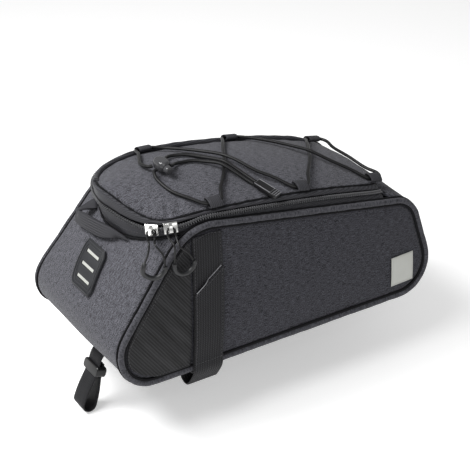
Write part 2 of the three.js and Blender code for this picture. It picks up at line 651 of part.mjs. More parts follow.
// Rear strap: webbing from the rear seam of the base through the buckle, round the crossbar and back
const rearStrapLean = new THREE.Vector2(-REAR_STRAP_RAKE, -1).normalize();
const rearStrapSide = new THREE.Vector2(-rearStrapLean.y, rearStrapLean.x); // forward of the strap
const barRadius = (CROSSBAR_ROOM + REAR_STRAP_WALL) / 2;
const barCentre = (() => {
  const z = -REAR_STRAP_DROP + barRadius + REAR_STRAP_WALL / 2;
  return new THREE.Vector2(rearStart - 7 + REAR_STRAP_RAKE * z, z);
})();
const alongStrap = (drop, aside) => {
  const back = (drop - barCentre.y) / rearStrapLean.y;
  return barCentre.clone().addScaledVector(rearStrapLean, back).addScaledVector(rearStrapSide, aside);
};
const runGap = BUCKLE_WALL * 0.6 + REAR_STRAP_WALL / 2 + SEAM_GAP; // each run beside the buckle's middle bar

function rearStrap() {
  const under = -(SEAM_GAP + 0.2 + REAR_STRAP_WALL / 2);
  const path = [
    new THREE.Vector2(rearStart + 8, under), new THREE.Vector2(rearStart, under - 0.2),
    new THREE.Vector2(rearStart - 4.5, under - 2.6), alongStrap(-11, -runGap - 0.4),
    alongStrap(-BUCKLE_DROP + BUCKLE_HEIGHT / 2 + 2, -runGap),
    alongStrap(-BUCKLE_DROP - BUCKLE_HEIGHT / 2 - 1, -runGap), alongStrap(barCentre.y + 16, -barRadius + 1.2),
  ];
  const start = Math.atan2(-rearStrapSide.y, -rearStrapSide.x);
  for (const t of shares(9)) {
    const angle = start + t * Math.PI;
    path.push(new THREE.Vector2(Math.cos(angle), Math.sin(angle)).multiplyScalar(barRadius).add(barCentre));
  }
  path.push(alongStrap(barCentre.y + 16, barRadius - 1.2), alongStrap(-BUCKLE_DROP - BUCKLE_HEIGHT / 2 - 1, runGap));
  path.push(alongStrap(-BUCKLE_DROP + BUCKLE_HEIGHT / 2 + 2.5, runGap));
  const half = REAR_STRAP_WIDTH / 2;
  return foldedBand(path.map((p) => [-half, half].map((y) => ({ x: p.x, y, z: p.y }))), REAR_STRAP_WALL);
}

function rearBuckle() {
  const frame = roundedPlate(BUCKLE_WIDTH, BUCKLE_HEIGHT, 2 * (runGap + REAR_STRAP_WALL / 2 + SEAM_GAP + BUCKLE_WALL), 2.5, 0.8);
  const room = REAR_STRAP_WALL + 2 * SEAM_GAP;
  let solid = toSolid(frame);
  for (const side of [-1, 1]) {
    const slot = new THREE.BoxGeometry(REAR_STRAP_WIDTH + 2 * SEAM_GAP, BUCKLE_HEIGHT * 2, room);
    solid = solid.subtract(toSolid(slot.translate(0, 0, side * runGap)));
  }
  const middle = alongStrap(-BUCKLE_DROP, 0);
  const along = vec(rearStrapLean.x, 0, rearStrapLean.y);
  const turn = new THREE.Matrix4().makeBasis(vec(0, 1, 0), along, vec(0, 1, 0).cross(along));
  return toGeometry(solid).applyMatrix4(turn).translate(middle.x, 0, middle.y);
}

// Carry handle: webbing sewn in under the rear zip band. Each row gives its two edges from the far end
// to the near end: across the bag, behind the zip band's bottom, and above it
const handleRows = [
  { upper: [36, 0, 0], lower: [49, 0, 0] },
  { upper: [41, 9.5, 3], lower: [52, 10, -2] },
  { upper: [43, 12.5, 2], lower: [49, 14, -12] },
  { upper: [30, 11.5, 4], lower: [33, 14, -11] },
  { upper: [16, 10.5, 5], lower: [14, 13, -9.5] },
  { upper: [4, 9, 6], lower: [3, 11.5, -8] },
  { upper: [-6, 8, 7], lower: [-6, 9.5, -5] },
  { upper: [-16, 6, 6.5], lower: [-12, 6.5, -2.5] },
  { upper: [-28, 0, 0], lower: [-16, 0, 0] },
];

function rearHandle() {
  const place = ([y, back, up]) => {
    const z = skirtBottom(0) + up;
    return vec(skirtX(0) - back, y, z);
  };
  const rows = handleRows.map(({ upper, lower }, i) => {
    const ends = [place(upper), place(lower)];
    if (i === 0 || i === handleRows.length - 1) {
      for (const end of ends) {
        end.z += skirtBottom(end.y) - skirtBottom(0) - 2.5;
        end.x = skirtX(end.y) - 2.2 + (skirtBottom(end.y) - end.z) * -REAR_RAKE;
      }
    }
    return [ends[0], ends[0].clone().lerp(ends[1], 0.5), ends[1]];
  });
  return foldedBand(rows, HANDLE_WALL);
}

// Patch for a clip-on light, with its slots and the reflective strips in them
const slopeLength = Math.hypot(1, REAR_RAKE); // length along the rear panel for each mm of height

function patchSolid(width, height, lift, low, high, corner, cols, rows) {
  const grid = shares(rows).map((t) => {
    const up = height * (t - 0.5);
    const edge = height / 2 - Math.abs(up);
    const pull = edge < corner ? corner - Math.sqrt(Math.max(corner ** 2 - (corner - edge) ** 2, 0)) : 0;
    return shares(cols).map((s) => {
      const y = (width - 2 * pull) * (s - 0.5) + PATCH_SHEAR * (up + lift - PATCH_LIFT);
      return smoothRear(y, lift + up);
    });
  });
  return skinOn(grid, low, high, () => vec(-1, 0, 0.8));
}

// The rear face between its rounded ends, as one plane with the crown of the panel
function smoothRear(y, z) {
  const grow = clamp((z - 12) / 70, 0, 1);
  const share = y / innerHalf(z);
  const out = REAR_CROWN * grow * grow * (3 - 2 * grow) * (1 - share * share);
  return vec(rearBase + REAR_RAKE * z - out / slopeLength, y, z + (out * REAR_RAKE) / slopeLength);
}

const slotLifts = Array.from({ length: SLOT_COUNT }, (_, i) => PATCH_LIFT + SLOT_PITCH * ((SLOT_COUNT - 1) / 2 - i));

function lightPatch() {
  let solid = toSolid(patchSolid(PATCH_WIDTH, PATCH_HEIGHT, PATCH_LIFT, LAYER_GAP, LAYER_GAP + PATCH_WALL, PATCH_CORNER, 5, 9));
  for (const lift of slotLifts) {
    const cutter = patchSolid(SLOT_LENGTH, SLOT_HEIGHT / slopeLength * 1.15, lift, -2, PATCH_WALL + 3, 0, 2, 2);
    solid = solid.subtract(toSolid(cutter));
  }
  return toGeometry(solid);
}

function reflectiveStrip(lift) {
  const less = 2 * SEAM_GAP;
  const height = (SLOT_HEIGHT - less) / slopeLength * 1.15;
  return patchSolid(SLOT_LENGTH - less, height, lift, LAYER_GAP, LAYER_GAP + PATCH_WALL * 0.6, 0, 2, 2);
}

// Webbing loops along the lid's seams, and the cord laced through them
const cordRadius = CORD_DIAMETER / 2;
const tabRoom = cordRadius + 0.65;

function tabFrame(x, side) {
  const y = side * (lidHalf(x) - 2.5);
  const along = vec(10, 0, seamHeight(x + 5) - seamHeight(x - 5)).normalize();
  const across = vec(0, 8, lidHeight(x, y + 4) - lidHeight(x, y - 4)).normalize();
  const up = along.clone().cross(across).normalize();
  const ground = vec(x, y, lidHeight(x, y));
  return { along, across, up, middle: ground.addScaledVector(up, (x > 100 ? 1.3 : 0.6) + TAB_WALL + tabRoom) };
}

function cordTab(x, side) {
  const half = TAB_REACH / 2;
  const outer = drawOval(new THREE.Shape(), 0, 0, half, tabRoom + TAB_WALL, 16);
  outer.holes.push(drawOval(new THREE.Path(), 0, 0, half - TAB_WALL, tabRoom, 16));
  const ring = new THREE.ExtrudeGeometry(outer, { depth: TAB_WIDTH, bevelEnabled: false });
  const { along, across, up, middle } = tabFrame(x, side);
  const turn = new THREE.Matrix4().makeBasis(across, up, along);
  return ring.translate(0, 0, -TAB_WIDTH / 2).applyMatrix4(turn).translate(middle.x, middle.y, middle.z);
}

// Cord route over the lid: place along and across the bag, and height of the cord above the lid
const cordPoint = ([x, y, lift]) => vec(x, y, lidHeight(x, y) + cordRadius + CORD_LIFT + lift);
function throughTab(x, side, direction) {
  const { along, middle } = tabFrame(x, side);
  return [-1, 0, 1].map((k) => middle.clone().addScaledVector(along, direction * k * (TAB_WIDTH / 2 + 1)));
}
const [rearTab, middleTab, frontTab] = TAB_STATIONS;
const lockFace = LOCK_WIDTH / 2 + 3 * SEAM_GAP;
const lockExit = lockFace + 3;
const alongFront = ([x, y, lift]) => vec(x, y, LID_FRONT_HEIGHT + cordRadius + CORD_LIFT + lift);
const cordRoute = [
  ...[[LOCK_PLACE[0] - lockFace, -8.5, 3.4], [LOCK_PLACE[0] - lockExit, -9, 3], [-93, -17, 1], [-92.5, -26, 0.2], [-89, -38, 0], [-80, -51, 0.8]].map(cordPoint),
  ...throughTab(rearTab, -1, 1),
  ...[[-47, -50, 1.2], [-37, -38, 0.3], [-27, -24, 0], [-14, -4, 0], [1, 22, 0.2], [14, 43, 1]].map(cordPoint),
  ...throughTab(middleTab, 1, 1),
  ...[[48, 44, 1.6], [59, 24, 1.6], [70, 6, 3], [79, -8, 4.2], [92, -25, 2.4], [107, -39, 1.4]].map(cordPoint),
  ...throughTab(frontTab, -1, 1),
  ...[[135.6, -42, 1], [133.4, -27, 0.6], [132.6, 0, 1.7], [133.4, 27, 0.6], [135.6, 42, 1]].map(alongFront),
  ...throughTab(frontTab, 1, -1),
  ...[[108, 37, 1], [96, 18, 0.2], [86, 2, 0], [69, -23, 0.2], [53, -43, 1]].map(cordPoint),
  ...throughTab(middleTab, -1, -1),
  ...[[13, -47, 1.4], [1, -34, 1.6], [-10, -16, 4], [-17, -4, 4.2], [-29, 13, 2.4], [-40, 31, 0.8], [-49, 47, 1]].map(cordPoint),
  ...throughTab(rearTab, 1, -1),
  ...[[-76, 46, 0.8], [-84, 30, 0.2], [-91.6, 13, 0.8], [LOCK_PLACE[0] - lockExit, 0.6, 3], [LOCK_PLACE[0] - lockFace, -0.5, 3.4]].map(cordPoint),
];

// Two free tails from the cord lock to the moulded cord end
const upperTail = [
  [LOCK_PLACE[0] + lockFace, 1.5, 3.4], [LOCK_PLACE[0] + lockExit, 3.5, 2.8], [-66, 14, 0.8], [-57, 19, 0], [-44, 15, 0], [-34, 5, 0.2], [-27, -7, 2.2],
  [-22.5, -17, 4.2], [-17, -27, 2.4], [-12, -38, 0.6], [-8, -47.5, 0.4],
];
const lowerTail = [
  [LOCK_PLACE[0] + lockFace, -7.5, 3.4], [LOCK_PLACE[0] + lockExit, -6.5, 2.8], [-65, -1, 0.8], [-57, 1, 0], [-46, -0.5, 0.2], [-36, -9, 1.4], [-28.5, -20.5, 4.2],
  [-21, -33, 2.2], [-15.5, -42.5, 0.6], [-12, -49.5, 0.4],
];
const tailEnd = cordPoint([-10, -48.5, 0.4]);

function cordEnd() {
  const along = cordPoint([-1.5, -67.5, 2.6]).sub(tailEnd).normalize();
  const across = vec(0, 0, 1).cross(along).normalize();
  const turn = new THREE.Matrix4().makeBasis(along, across, along.clone().cross(across));
  const middle = tailEnd.clone().addScaledVector(along, CORD_END_LENGTH / 2 + 1.4).add(vec(0, 0, 1.2));
  const plate = roundedPlate(CORD_END_LENGTH, CORD_END_WIDTH, CORD_END_HEIGHT, 1.6, 0.9);
  return plate.applyMatrix4(turn).translate(middle.x, middle.y, middle.z);
}

function cordLock() {
  const body = roundedPlate(LOCK_WIDTH, LOCK_LENGTH, LOCK_HEIGHT, 4, 2);
  const [x, y] = LOCK_PLACE;
  return body.translate(x, y, lockHeight);
}
const lockHeight = lidHeight(LOCK_PLACE[0], LOCK_PLACE[1]) + LAYER_GAP + 1 + LOCK_HEIGHT / 2;

function lockButton() {
  const radius = BUTTON_DIAMETER / 2;
  const profile = [[0, 0], [radius, 0], [radius, BUTTON_HEIGHT - 1], [radius - 1, BUTTON_HEIGHT], [0, BUTTON_HEIGHT]];
  const button = new THREE.LatheGeometry(profile.map(([r, h]) => new THREE.Vector2(r, h)), 12);
  const y = LOCK_PLACE[1] - LOCK_LENGTH / 2 - SEAM_GAP;
  return button.rotateX(Math.PI).translate(LOCK_PLACE[0], y, lockHeight - 0.5);
}

// Sliders stand over the zip coil at two places along the zip line, each with an eye for its pull
const sliderShares = { zip_slider_rear: 0.404, zip_slider_side: 0.379 };

function sliderFrame(share) {
  const middle = zipLine.getPointAt(share);
  const along = zipLine.getTangentAt(share);
  const nearest = stations.reduce((a, b) => (a.zip.distanceTo(middle) < b.zip.distanceTo(middle) ? a : b));
  const up = along.clone().cross(nearest.top.clone().sub(nearest.bottom)).normalize();
  if (up.dot(outward(middle)) < 0) up.negate();
  return { middle, along, up, across: up.clone().cross(along).normalize() };
}

function slider(share) {
  const room = COIL_DIAMETER / 2 + SEAM_GAP;
  const height = room + SLIDER_WALL;
  const section = new THREE.Shape();
  const half = SLIDER_WIDTH / 2;
  section.moveTo(-half, 1.6);
  section.lineTo(-room, 1.2);
  section.lineTo(-room * 0.8, room);
  section.lineTo(room * 0.8, room);
  section.lineTo(room, 1.2);
  section.lineTo(half, 1.6);
  section.lineTo(half, height - 1);
  section.lineTo(half - 1, height);
  section.lineTo(-half + 1, height);
  section.lineTo(-half, height - 1);
  const body = new THREE.ExtrudeGeometry(section, { depth: SLIDER_LENGTH, bevelEnabled: false });
  body.translate(0, 0, -SLIDER_LENGTH / 2);
  const eye = new THREE.Shape();
  const reach = SLIDER_LENGTH / 2 - 1;
  eye.moveTo(-reach, height - 0.3);
  eye.lineTo(-reach * 0.6, height + 4.2);
  eye.lineTo(reach * 0.6, height + 4.2);
  eye.lineTo(reach, height - 0.3);
  eye.holes.push(drawOval(new THREE.Path(), 0, height + 1.8, 2.8, 1.7, 8));
  const bridge = new THREE.ExtrudeGeometry(eye, { depth: 3, bevelEnabled: false });
  bridge.translate(0, 0, -1.5);
  const whole = toGeometry(toSolid(body).add(toSolid(bridge)));
  const { middle, along, up, across } = sliderFrame(share);
  const turn = new THREE.Matrix4().makeBasis(across, up, along);
  return whole.applyMatrix4(turn).translate(middle.x, middle.y, middle.z);
}

// Cord pulls that hang from the sliders, each with a bent grip; two legs that meet in the slider's eye
const PULLS = {
  rear: {
    legs: [
      [[-139.5, -76, 120], [-134, -73, 127.5], [-132, -71, 134]],
      [[-122.8, -81.5, 114.5], [-123, -79.5, 124], [-128.5, -76, 134]],
    ],
    grip: [[-142, -76.6, 112], [-138, -77.5, 107], [-132, -79.5, 104.5], [-126, -81.2, 107]],
  },
  side: {
    legs: [
      [[-113.6, -82, 114.6], [-112.5, -81.3, 122], [-113, -81, 132]],
      [[-95.5, -83, 113], [-99, -82.3, 119.5], [-108, -82, 130]],
    ],
    grip: [[-113, -82.8, 107], [-108, -83.2, 103], [-101, -83.5, 103], [-96.6, -83.5, 106]],
  },
};

addPiece('base_panel', basePanel(), webbing);
addPiece('rear_panel', rearPanel(), lightHeather);
addPiece('front_panel', frontPanel(), darkHeather);
addPiece('lid_panel', lidPanel(), lightHeather);
for (const [word, side] of [['near', -1], ['far', 1]]) {
  addPiece(`side_panel_${word}`, sidePanel(side), darkHeather);
  addPiece(`side_piping_${word}`, sidePiping(side), pipingCloth);
  addPiece(`corner_guard_${word}`, cornerGuard(side), coatedCloth);
  addPiece(`side_strap_${word}`, foldedBand(strapPath(side), STRAP_WALL), webbing);
  TAB_STATIONS.forEach((x, i) => {
    addPiece(`cord_tab_${word}_${['rear', 'middle', 'front'][i]}`, cordTab(x, side), webbing);
  });
}
addPiece('zip_tape_lower', zipTape('bottom'), tapeCloth);
addPiece('zip_tape_upper', zipTape('top'), tapeCloth);
addPiece('zip_coil', zipCoil(), blackPlastic);
for (const [name, share] of Object.entries(sliderShares)) addPiece(name, slider(share), brightMetal);
// The first two points of a grip, which meets its leg's end face to face
function gripEnd(leg) {
  const [end, next] = leg.map((p) => vec(...p));
  const away = end.clone().sub(next).normalize();
  return [SEAM_GAP + 0.1, 2.5].map((by) => end.clone().addScaledVector(away, by));
}
for (const [word, { legs, grip }] of Object.entries(PULLS)) {
  const { middle, along, up, across } = sliderFrame(sliderShares[`zip_slider_${word}`]);
  const eye = middle.clone().addScaledVector(up, COIL_DIAMETER / 2 + SEAM_GAP + SLIDER_WALL + 2.2);
  const down = across.z < 0 ? across : across.clone().negate();
  const inEye = [[3.4, 6.5, 0.4], [3, 0.6, 0.2], [0, 0, 0], [-3, 0.6, 0.2], [-3.4, 6.5, 0.4]].map(([by, low, high]) => (
    eye.clone().addScaledVector(along, by).addScaledVector(down, low).addScaledVector(up, high)));
  const route = [...legs[0].map((p) => vec(...p)), ...inEye, ...legs[1].slice().reverse().map((p) => vec(...p))];
  addPiece(`zip_pull_cord_${word}`, openTube(route, PULL_CORD_DIAMETER, 6, 22), cordCloth);
  addPiece(`zip_grip_${word}`, openTube([...gripEnd(legs[0]), ...grip.map((p) => vec(...p)), ...gripEnd(legs[1]).reverse()], GRIP_DIAMETER, 8, 10), greyRubber);
}
addPiece('rear_handle', rearHandle(), webbing);
addPiece('light_patch', lightPatch(), greyRubber);
slotLifts.forEach((lift, i) => addPiece(`patch_strip_${i + 1}`, reflectiveStrip(lift), reflectiveFilm));
addPiece('side_label', sideLabel(), reflectiveFilm);
addPiece('rear_strap', rearStrap(), webbing);
addPiece('rear_buckle', rearBuckle(), blackPlastic);
addPiece('lashing_cord', openTube(cordRoute, CORD_DIAMETER, 8, 80), cordCloth);
addPiece('cord_lock', cordLock(), blackPlastic);
addPiece('cord_lock_button', lockButton(), blackPlastic);
addPiece('cord_tail_upper', openTube(upperTail.map(cordPoint), CORD_DIAMETER, 8, 14), cordCloth);
addPiece('cord_tail_lower', openTube(lowerTail.map(cordPoint), CORD_DIAMETER, 8, 14), cordCloth);
addPiece('cord_end', cordEnd(), blackPlastic);

export default bag;
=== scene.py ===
"""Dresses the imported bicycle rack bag: padded heather panels, zip, webbing, cords and fittings"""

import math

import bmesh
import bpy
import numpy as np
from mathutils import Matrix, Vector, kdtree, noise
from mathutils.bvhtree import BVHTree


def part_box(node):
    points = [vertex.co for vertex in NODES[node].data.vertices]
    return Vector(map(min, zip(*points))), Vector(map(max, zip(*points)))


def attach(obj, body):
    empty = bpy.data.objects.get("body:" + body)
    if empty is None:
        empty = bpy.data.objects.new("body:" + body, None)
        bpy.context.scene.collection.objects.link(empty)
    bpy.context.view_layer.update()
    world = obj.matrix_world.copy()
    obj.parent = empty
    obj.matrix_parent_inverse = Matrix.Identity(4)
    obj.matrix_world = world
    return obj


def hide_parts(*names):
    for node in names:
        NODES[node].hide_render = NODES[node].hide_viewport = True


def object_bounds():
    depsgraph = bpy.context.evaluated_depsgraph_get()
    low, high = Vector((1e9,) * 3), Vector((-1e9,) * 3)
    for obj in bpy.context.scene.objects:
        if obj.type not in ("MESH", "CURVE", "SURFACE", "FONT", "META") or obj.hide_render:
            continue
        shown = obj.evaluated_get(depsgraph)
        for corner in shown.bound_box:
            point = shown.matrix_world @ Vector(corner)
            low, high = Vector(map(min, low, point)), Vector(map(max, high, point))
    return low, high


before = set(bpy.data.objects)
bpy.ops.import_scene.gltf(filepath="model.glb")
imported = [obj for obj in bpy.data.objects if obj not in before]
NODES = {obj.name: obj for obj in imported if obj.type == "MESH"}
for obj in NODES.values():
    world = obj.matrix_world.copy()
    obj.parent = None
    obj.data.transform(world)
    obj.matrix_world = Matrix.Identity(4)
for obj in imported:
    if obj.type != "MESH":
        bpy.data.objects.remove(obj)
CAD_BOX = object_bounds()

bl_info = {
    "name": "Bicycle rack bag",
    "version": (1, 0, 0),
    "blender": (4, 5, 0),
    "location": "3D View > Sidebar > Rack Bag",
    "description": "Makes the looks of a sewn trunk bag over its solids",
    "category": "Object",
}

MM = 0.001
SIDES = (("near", -1), ("far", 1))
X, Y, Z = (1, 0, 0), (0, 1, 0), (0, 0, 1)

# Side outline of the body, in mm: its corners with their radii, how far the side leans in in each mm of height,
# the steps that round a corner here and in the solids, and the piping's diameter
BODY_LENGTH = 345
BASE_HALF = 85.4
SIDE_LEAN = 0.097
REAR_RAKE = 0.787
FRONT_RAKE = 0.29
REAR_TOP = 143.5
FRONT_TOP = 102
RADII = {"rear_base": 34, "front_base": 36, "front_top": 32, "rear_top": 50}
ARC_STEPS = 8
SOLID_STEPS = 6
PIPING = 6.6

# The side strap, in mm: its rear edge at half the rear height, its width, how far it slants in each mm, the
# heights of its stitched part, the rear end and heights of its slanted hem, and where rows are thrown from
STRAP_REAR = -96
STRAP_WIDTH = 30
STRAP_SLANT = 0.07
STRAP_STITCHED = (10, 128)
HEM_REAR = -94.9
HEM_HEIGHTS = (78, 99)
THROW_FROM = 95

# Where the cloth is folded, as a place and a reach in mm
LID_FOLDS = ((-108, -45, 150), 34)
LID_DIP = ((2, -38, 150), 17)
GUARD_FOLD = ((-132, 84, 43), 26)

# The studio: lamps with their place and size in m and power in W, and the camera that fits the photograph,
# with its place in mm, its azimuth, tilt and roll in degrees, and its lens and width in pixels
LAMPS = (("key", (-0.9, -0.3, 1.4), 10, 0.6), ("fill", (-0.5, -1.6, 0.9), 8, 1.2),
         ("top", (-0.55, 0.2, 0.8), 9, 0.4))
CAMERA_PLACE = (-645.99, -1006.59, 741.50)
CAMERA_ANGLES = (-32.7148, 29.3229, 0.1168)
CAMERA_LENS = 1440.14
PHOTO_WIDTH = 470
FLOOR_DROP = 0.002

# The lid and the zip band, in mm, as the solids have them
LID_WIDTH = 129
LID_LENGTH = 273.5
LID_REAR = -139
LID_REAR_HEIGHT = REAR_TOP + 18
LID_FRONT_HEIGHT = 114
REAR_CROWN = 9
SKIRT_BOTTOM = REAR_TOP - 27.5
SKIRT_RISE = 16
SEAM_GAP = 0.3
ZIP_BULGE_SIDE = 2.4
ZIP_BULGE_CORNER = 5
ZIP_BULGE_REAR = 3

# Half of the lid's edge from its rear to one row past the zip's end: shares of the length, of the half width
# and of the height of the seam between its front and its rear
LID_EDGE = (
    (0, 0, 1), (0.005, 0.11, 0.98), (0.016, 0.23, 0.92), (0.031, 0.37, 0.83), (0.048, 0.51, 0.75),
    (0.068, 0.65, 0.68), (0.091, 0.78, 0.64), (0.124, 0.885, 0.65), (0.168, 0.94, 0.68), (0.23, 0.975, 0.705),
    (0.358, 1, 0.663), (0.552, 0.97, 0.526), (0.724, 0.94, 0.358), (0.837, 0.905, 0.21), (0.918, 0.865, 0.08),
    (0.962, 0.8, 0), (0.984, 0.62, -0.01),
)

# The zip has a station on each row but the last, and its end lies back a little
ZIP_ROWS = len(LID_EDGE) - 1
ZIP_END_BACK = 2.5

# Behind BAND_TURN the band faces away from BAND_MIDDLE, and before it to the side
BAND_TURN = -95
BAND_MIDDLE = -40

# Cord routes, in mm, as the solids have them
LASHING = (
    (-87.4, -8.5, 166.5), (-90.4, -9, 166.1), (-93, -17, 163.4), (-92.5, -26, 161.1),
    (-89, -38, 158), (-80, -51, 155), (-69.3, -62.5, 151.6), (-61.8, -62.5, 151.2),
    (-54.3, -62.5, 150.8), (-47, -50, 154.5), (-37, -38, 156.1), (-27, -24, 157),
    (-14, -4, 156.7), (1, 22, 153.5), (14, 43, 148.3), (25.2, 60.6, 141.2),
    (32.6, 60.6, 140), (40, 60.6, 138.7), (48, 44, 141.9), (59, 24, 143.4),
    (70, 6, 143.1), (79, -8, 141.8), (92, -25, 134.9), (107, -39, 126.8),
    (117.1, -50.4, 120.5), (124.4, -50.4, 119), (131.7, -50.4, 117.4), (135.6, -42, 117.2),
    (133.4, -27, 116.8), (132.6, 0, 117.9), (133.4, 27, 116.8), (135.6, 42, 117.2),
    (131.7, 50.4, 117.4), (124.4, 50.4, 119), (117.1, 50.4, 120.5), (108, 37, 126.4),
    (96, 18, 132.1), (86, 2, 135.8), (69, -23, 139.4), (53, -43, 140.5),
    (40, -60.6, 138.7), (32.6, -60.6, 140), (25.2, -60.6, 141.2), (13, -47, 147.8),
    (1, -34, 152.9), (-10, -16, 159.5), (-17, -4, 161.4), (-29, 13, 160.9),
    (-40, 31, 158.5), (-49, 47, 155.4), (-54.3, 62.5, 150.8), (-61.8, 62.5, 151.2),
    (-69.3, 62.5, 151.6), (-76, 46, 156.9), (-84, 30, 160.4), (-91.6, 13, 163.7),
    (-90.4, 0.6, 166.4), (-87.4, -0.5, 166.7),
)
TAILS = {
    "cord_tail_upper": (
        (-73.6, 1.5, 166.3), (-70.6, 3.5, 165.5), (-66, 14, 162.6), (-57, 19, 160.7),
        (-44, 15, 160.2), (-34, 5, 159.7), (-27, -7, 160.7), (-22.5, -17, 161.4),
        (-17, -27, 157.5), (-12, -38, 152.9), (-8, -47.5, 149.6),
    ),
    "cord_tail_lower": (
        (-73.6, -7.5, 166.2), (-70.6, -6.5, 165.4), (-65, -1, 163.1), (-57, 1, 161.7),
        (-46, -0.5, 161.2), (-36, -9, 161.1), (-28.5, -20.5, 161.9), (-21, -33, 156.8),
        (-15.5, -42.5, 152.2), (-12, -49.5, 149.5),
    ),
}
PULLS = {
    "rear": (
        (-139.5, -76, 120), (-134, -73, 127.5), (-132, -71, 134), (-125.6, -56.8, 131),
        (-125.4, -56.5, 136.9), (-123.3, -58.6, 137.8), (-121.6, -61.1, 137.4), (-121.3, -62.1, 131.6),
        (-128.5, -76, 134), (-123, -79.5, 124), (-122.8, -81.5, 114.5),
    ),
    "side": (
        (-113.6, -82, 114.6), (-112.5, -81.3, 122), (-113, -81, 132), (-112.5, -70.2, 134.8),
        (-112, -68.5, 140.4), (-109.1, -69.3, 141.2), (-106.5, -70.8, 141), (-106.3, -72.8, 135.4),
        (-108, -82, 130), (-99, -82.3, 119.5), (-95.5, -83, 113),
    ),
}
GRIPS = {
    "rear": (
        (-139.7, -76.1, 119.7), (-140.9, -76.8, 118.1), (-142, -76.6, 112), (-138, -77.5, 107),
        (-132, -79.5, 104.5), (-126, -81.2, 107), (-122.7, -82, 112.1), (-122.8, -81.6, 114.1),
    ),
    "side": (
        (-113.7, -82, 114.2), (-114, -82.2, 112.1), (-113, -82.8, 107), (-108, -83.2, 103),
        (-101, -83.5, 103), (-96.6, -83.5, 106), (-94.3, -83.2, 110.8), (-95.3, -83, 112.6),
    ),
}


def linear(code):
    """Linear colour of an sRGB hex value"""
    shares = [int(code[i:i + 2], 16) / 255 for i in (1, 3, 5)]
    return tuple(s / 12.92 if s <= 0.04045 else ((s + 0.055) / 1.055) ** 2.4 for s in shares)


def length_value(name, description, millimetres):
    return bpy.props.FloatProperty(name=name, description=description, default=millimetres * MM, unit="LENGTH")


def colour_value(name, description, code):
    return bpy.props.FloatVectorProperty(
        name=name, description=description, subtype="COLOR", size=3, default=linear(code), min=0, max=1)


class RACKBAG_sizes(bpy.types.PropertyGroup):
    stitch_spacing: length_value("Stitch spacing", "From one stitch to the next", 3.2)
    stitch_length: length_value("Stitch length", "Thread seen of one stitch", 2.3)
    thread: length_value("Thread", "Width of the sewing thread", 0.5)
    tooth_pitch: length_value("Coil pitch", "From one turn of the zip coil to the next", 2.4)
    pucker: length_value("Pucker depth", "How deep the cloth is gathered at its seams", 0.7)
    sway: length_value("Cloth sway", "How far the padded faces wander from their smooth form", 0.8)
    lashing: length_value("Lashing cord", "Diameter of the elastic cord", 3.2)
    pull: length_value("Pull cord", "Diameter of the cord in the zip pulls", 1.8)
    grip: length_value("Grip", "Diameter of the grip on a zip pull", 4.2)
    # The seam rolls are coloured dark as painted shade in the seams
    seam_roll: length_value("Seam roll", "Diameter of the dark roll of cloth in a seam", 1.9)


class RACKBAG_colours(bpy.types.PropertyGroup):
    light_heather: colour_value("Light heather", "Lid, rear and piping cloth", "#46464b")
    dark_heather: colour_value("Dark heather", "Side and front cloth", "#333338")
    tape: colour_value("Zip tape", "Woven zip tape", "#2c2c2f")
    webbing: colour_value("Webbing", "Straps and loops", "#18181a")
    cord: colour_value("Cord", "Braided cord cover", "#111112")
    guard: colour_value("Corner guard", "Coated cloth on the rear corners", "#161617")
    plastic: colour_value("Moulded plastic", "Zip coil, buckle, lock and cord end", "#131314")
    rubber: colour_value("Soft rubber", "Light patch and grips", "#1f2023")
    film: colour_value("Reflective film", "Label and patch strips", "#a9aaa5")
    metal: colour_value("Plated metal", "Zip sliders", "#dcdcda")
    thread: colour_value("Thread", "Sewing thread", "#3a3a3d")


def sizes():
    return bpy.context.scene.rackbag_sizes


def colours():
    return bpy.context.scene.rackbag_colours


# Meshes

def points_of(mesh):
    """Vertices of a mesh in mm"""
    found = np.empty(len(mesh.vertices) * 3, np.float32)
    mesh.vertices.foreach_get("co", found)
    return found.reshape(-1, 3).astype(float) / MM


def bake(mesh, modify):
    """The mesh after the modifiers that modify gives its object, as a plain mesh"""
    worker = bpy.data.objects.new("worker", mesh)
    bpy.context.scene.collection.objects.link(worker)
    modify(worker)
    bpy.context.view_layer.update()
    made = bpy.data.meshes.new_from_object(worker.evaluated_get(bpy.context.evaluated_depsgraph_get()))
    bpy.data.objects.remove(worker)
    bpy.data.meshes.remove(mesh)
    return made


def whole_faces(node):
    """A CAD node's skin with its loose triangles joined and its flat or gently bent quads restored"""
    skin = bmesh.new()
    skin.from_mesh(NODES[node].data)
    bmesh.ops.remove_doubles(skin, verts=skin.verts, dist=0.002 * MM)
    bmesh.ops.join_triangles(skin, faces=skin.faces, angle_face_threshold=math.radians(25),
                             angle_shape_threshold=math.radians(60))
    return skin


def mesh_from(skin, name):
    """The plain mesh of a bmesh that is done with"""
    mesh = bpy.data.meshes.new(name)
    skin.to_mesh(mesh)
    skin.free()
    return mesh


def sewn_skin(node, levels=2, crease=0.6):
    """A CAD soft solid rounded by subdivision, its cut edges kept nearly square"""
    skin = whole_faces(node)
    edge_crease = skin.edges.layers.float.new("crease_edge")
    for edge in skin.edges:
        if edge.calc_face_angle(0) > math.radians(48):
            edge[edge_crease] = crease

    def modify(worker):
        rounding = worker.modifiers.new("rounding", "SUBSURF")
        rounding.levels = rounding.render_levels = levels
    return bake(mesh_from(skin, node), modify)


def moulded_skin(node, edge):
    """A CAD hard solid with its edges rounded as a mould leaves them"""
    def modify(worker):
        rounding = worker.modifiers.new("rounding", "BEVEL")
        rounding.width = edge * MM
        rounding.segments = 3
        rounding.limit_method = "ANGLE"
        rounding.angle_limit = math.radians(28)
    return bake(mesh_from(whole_faces(node), node), modify)


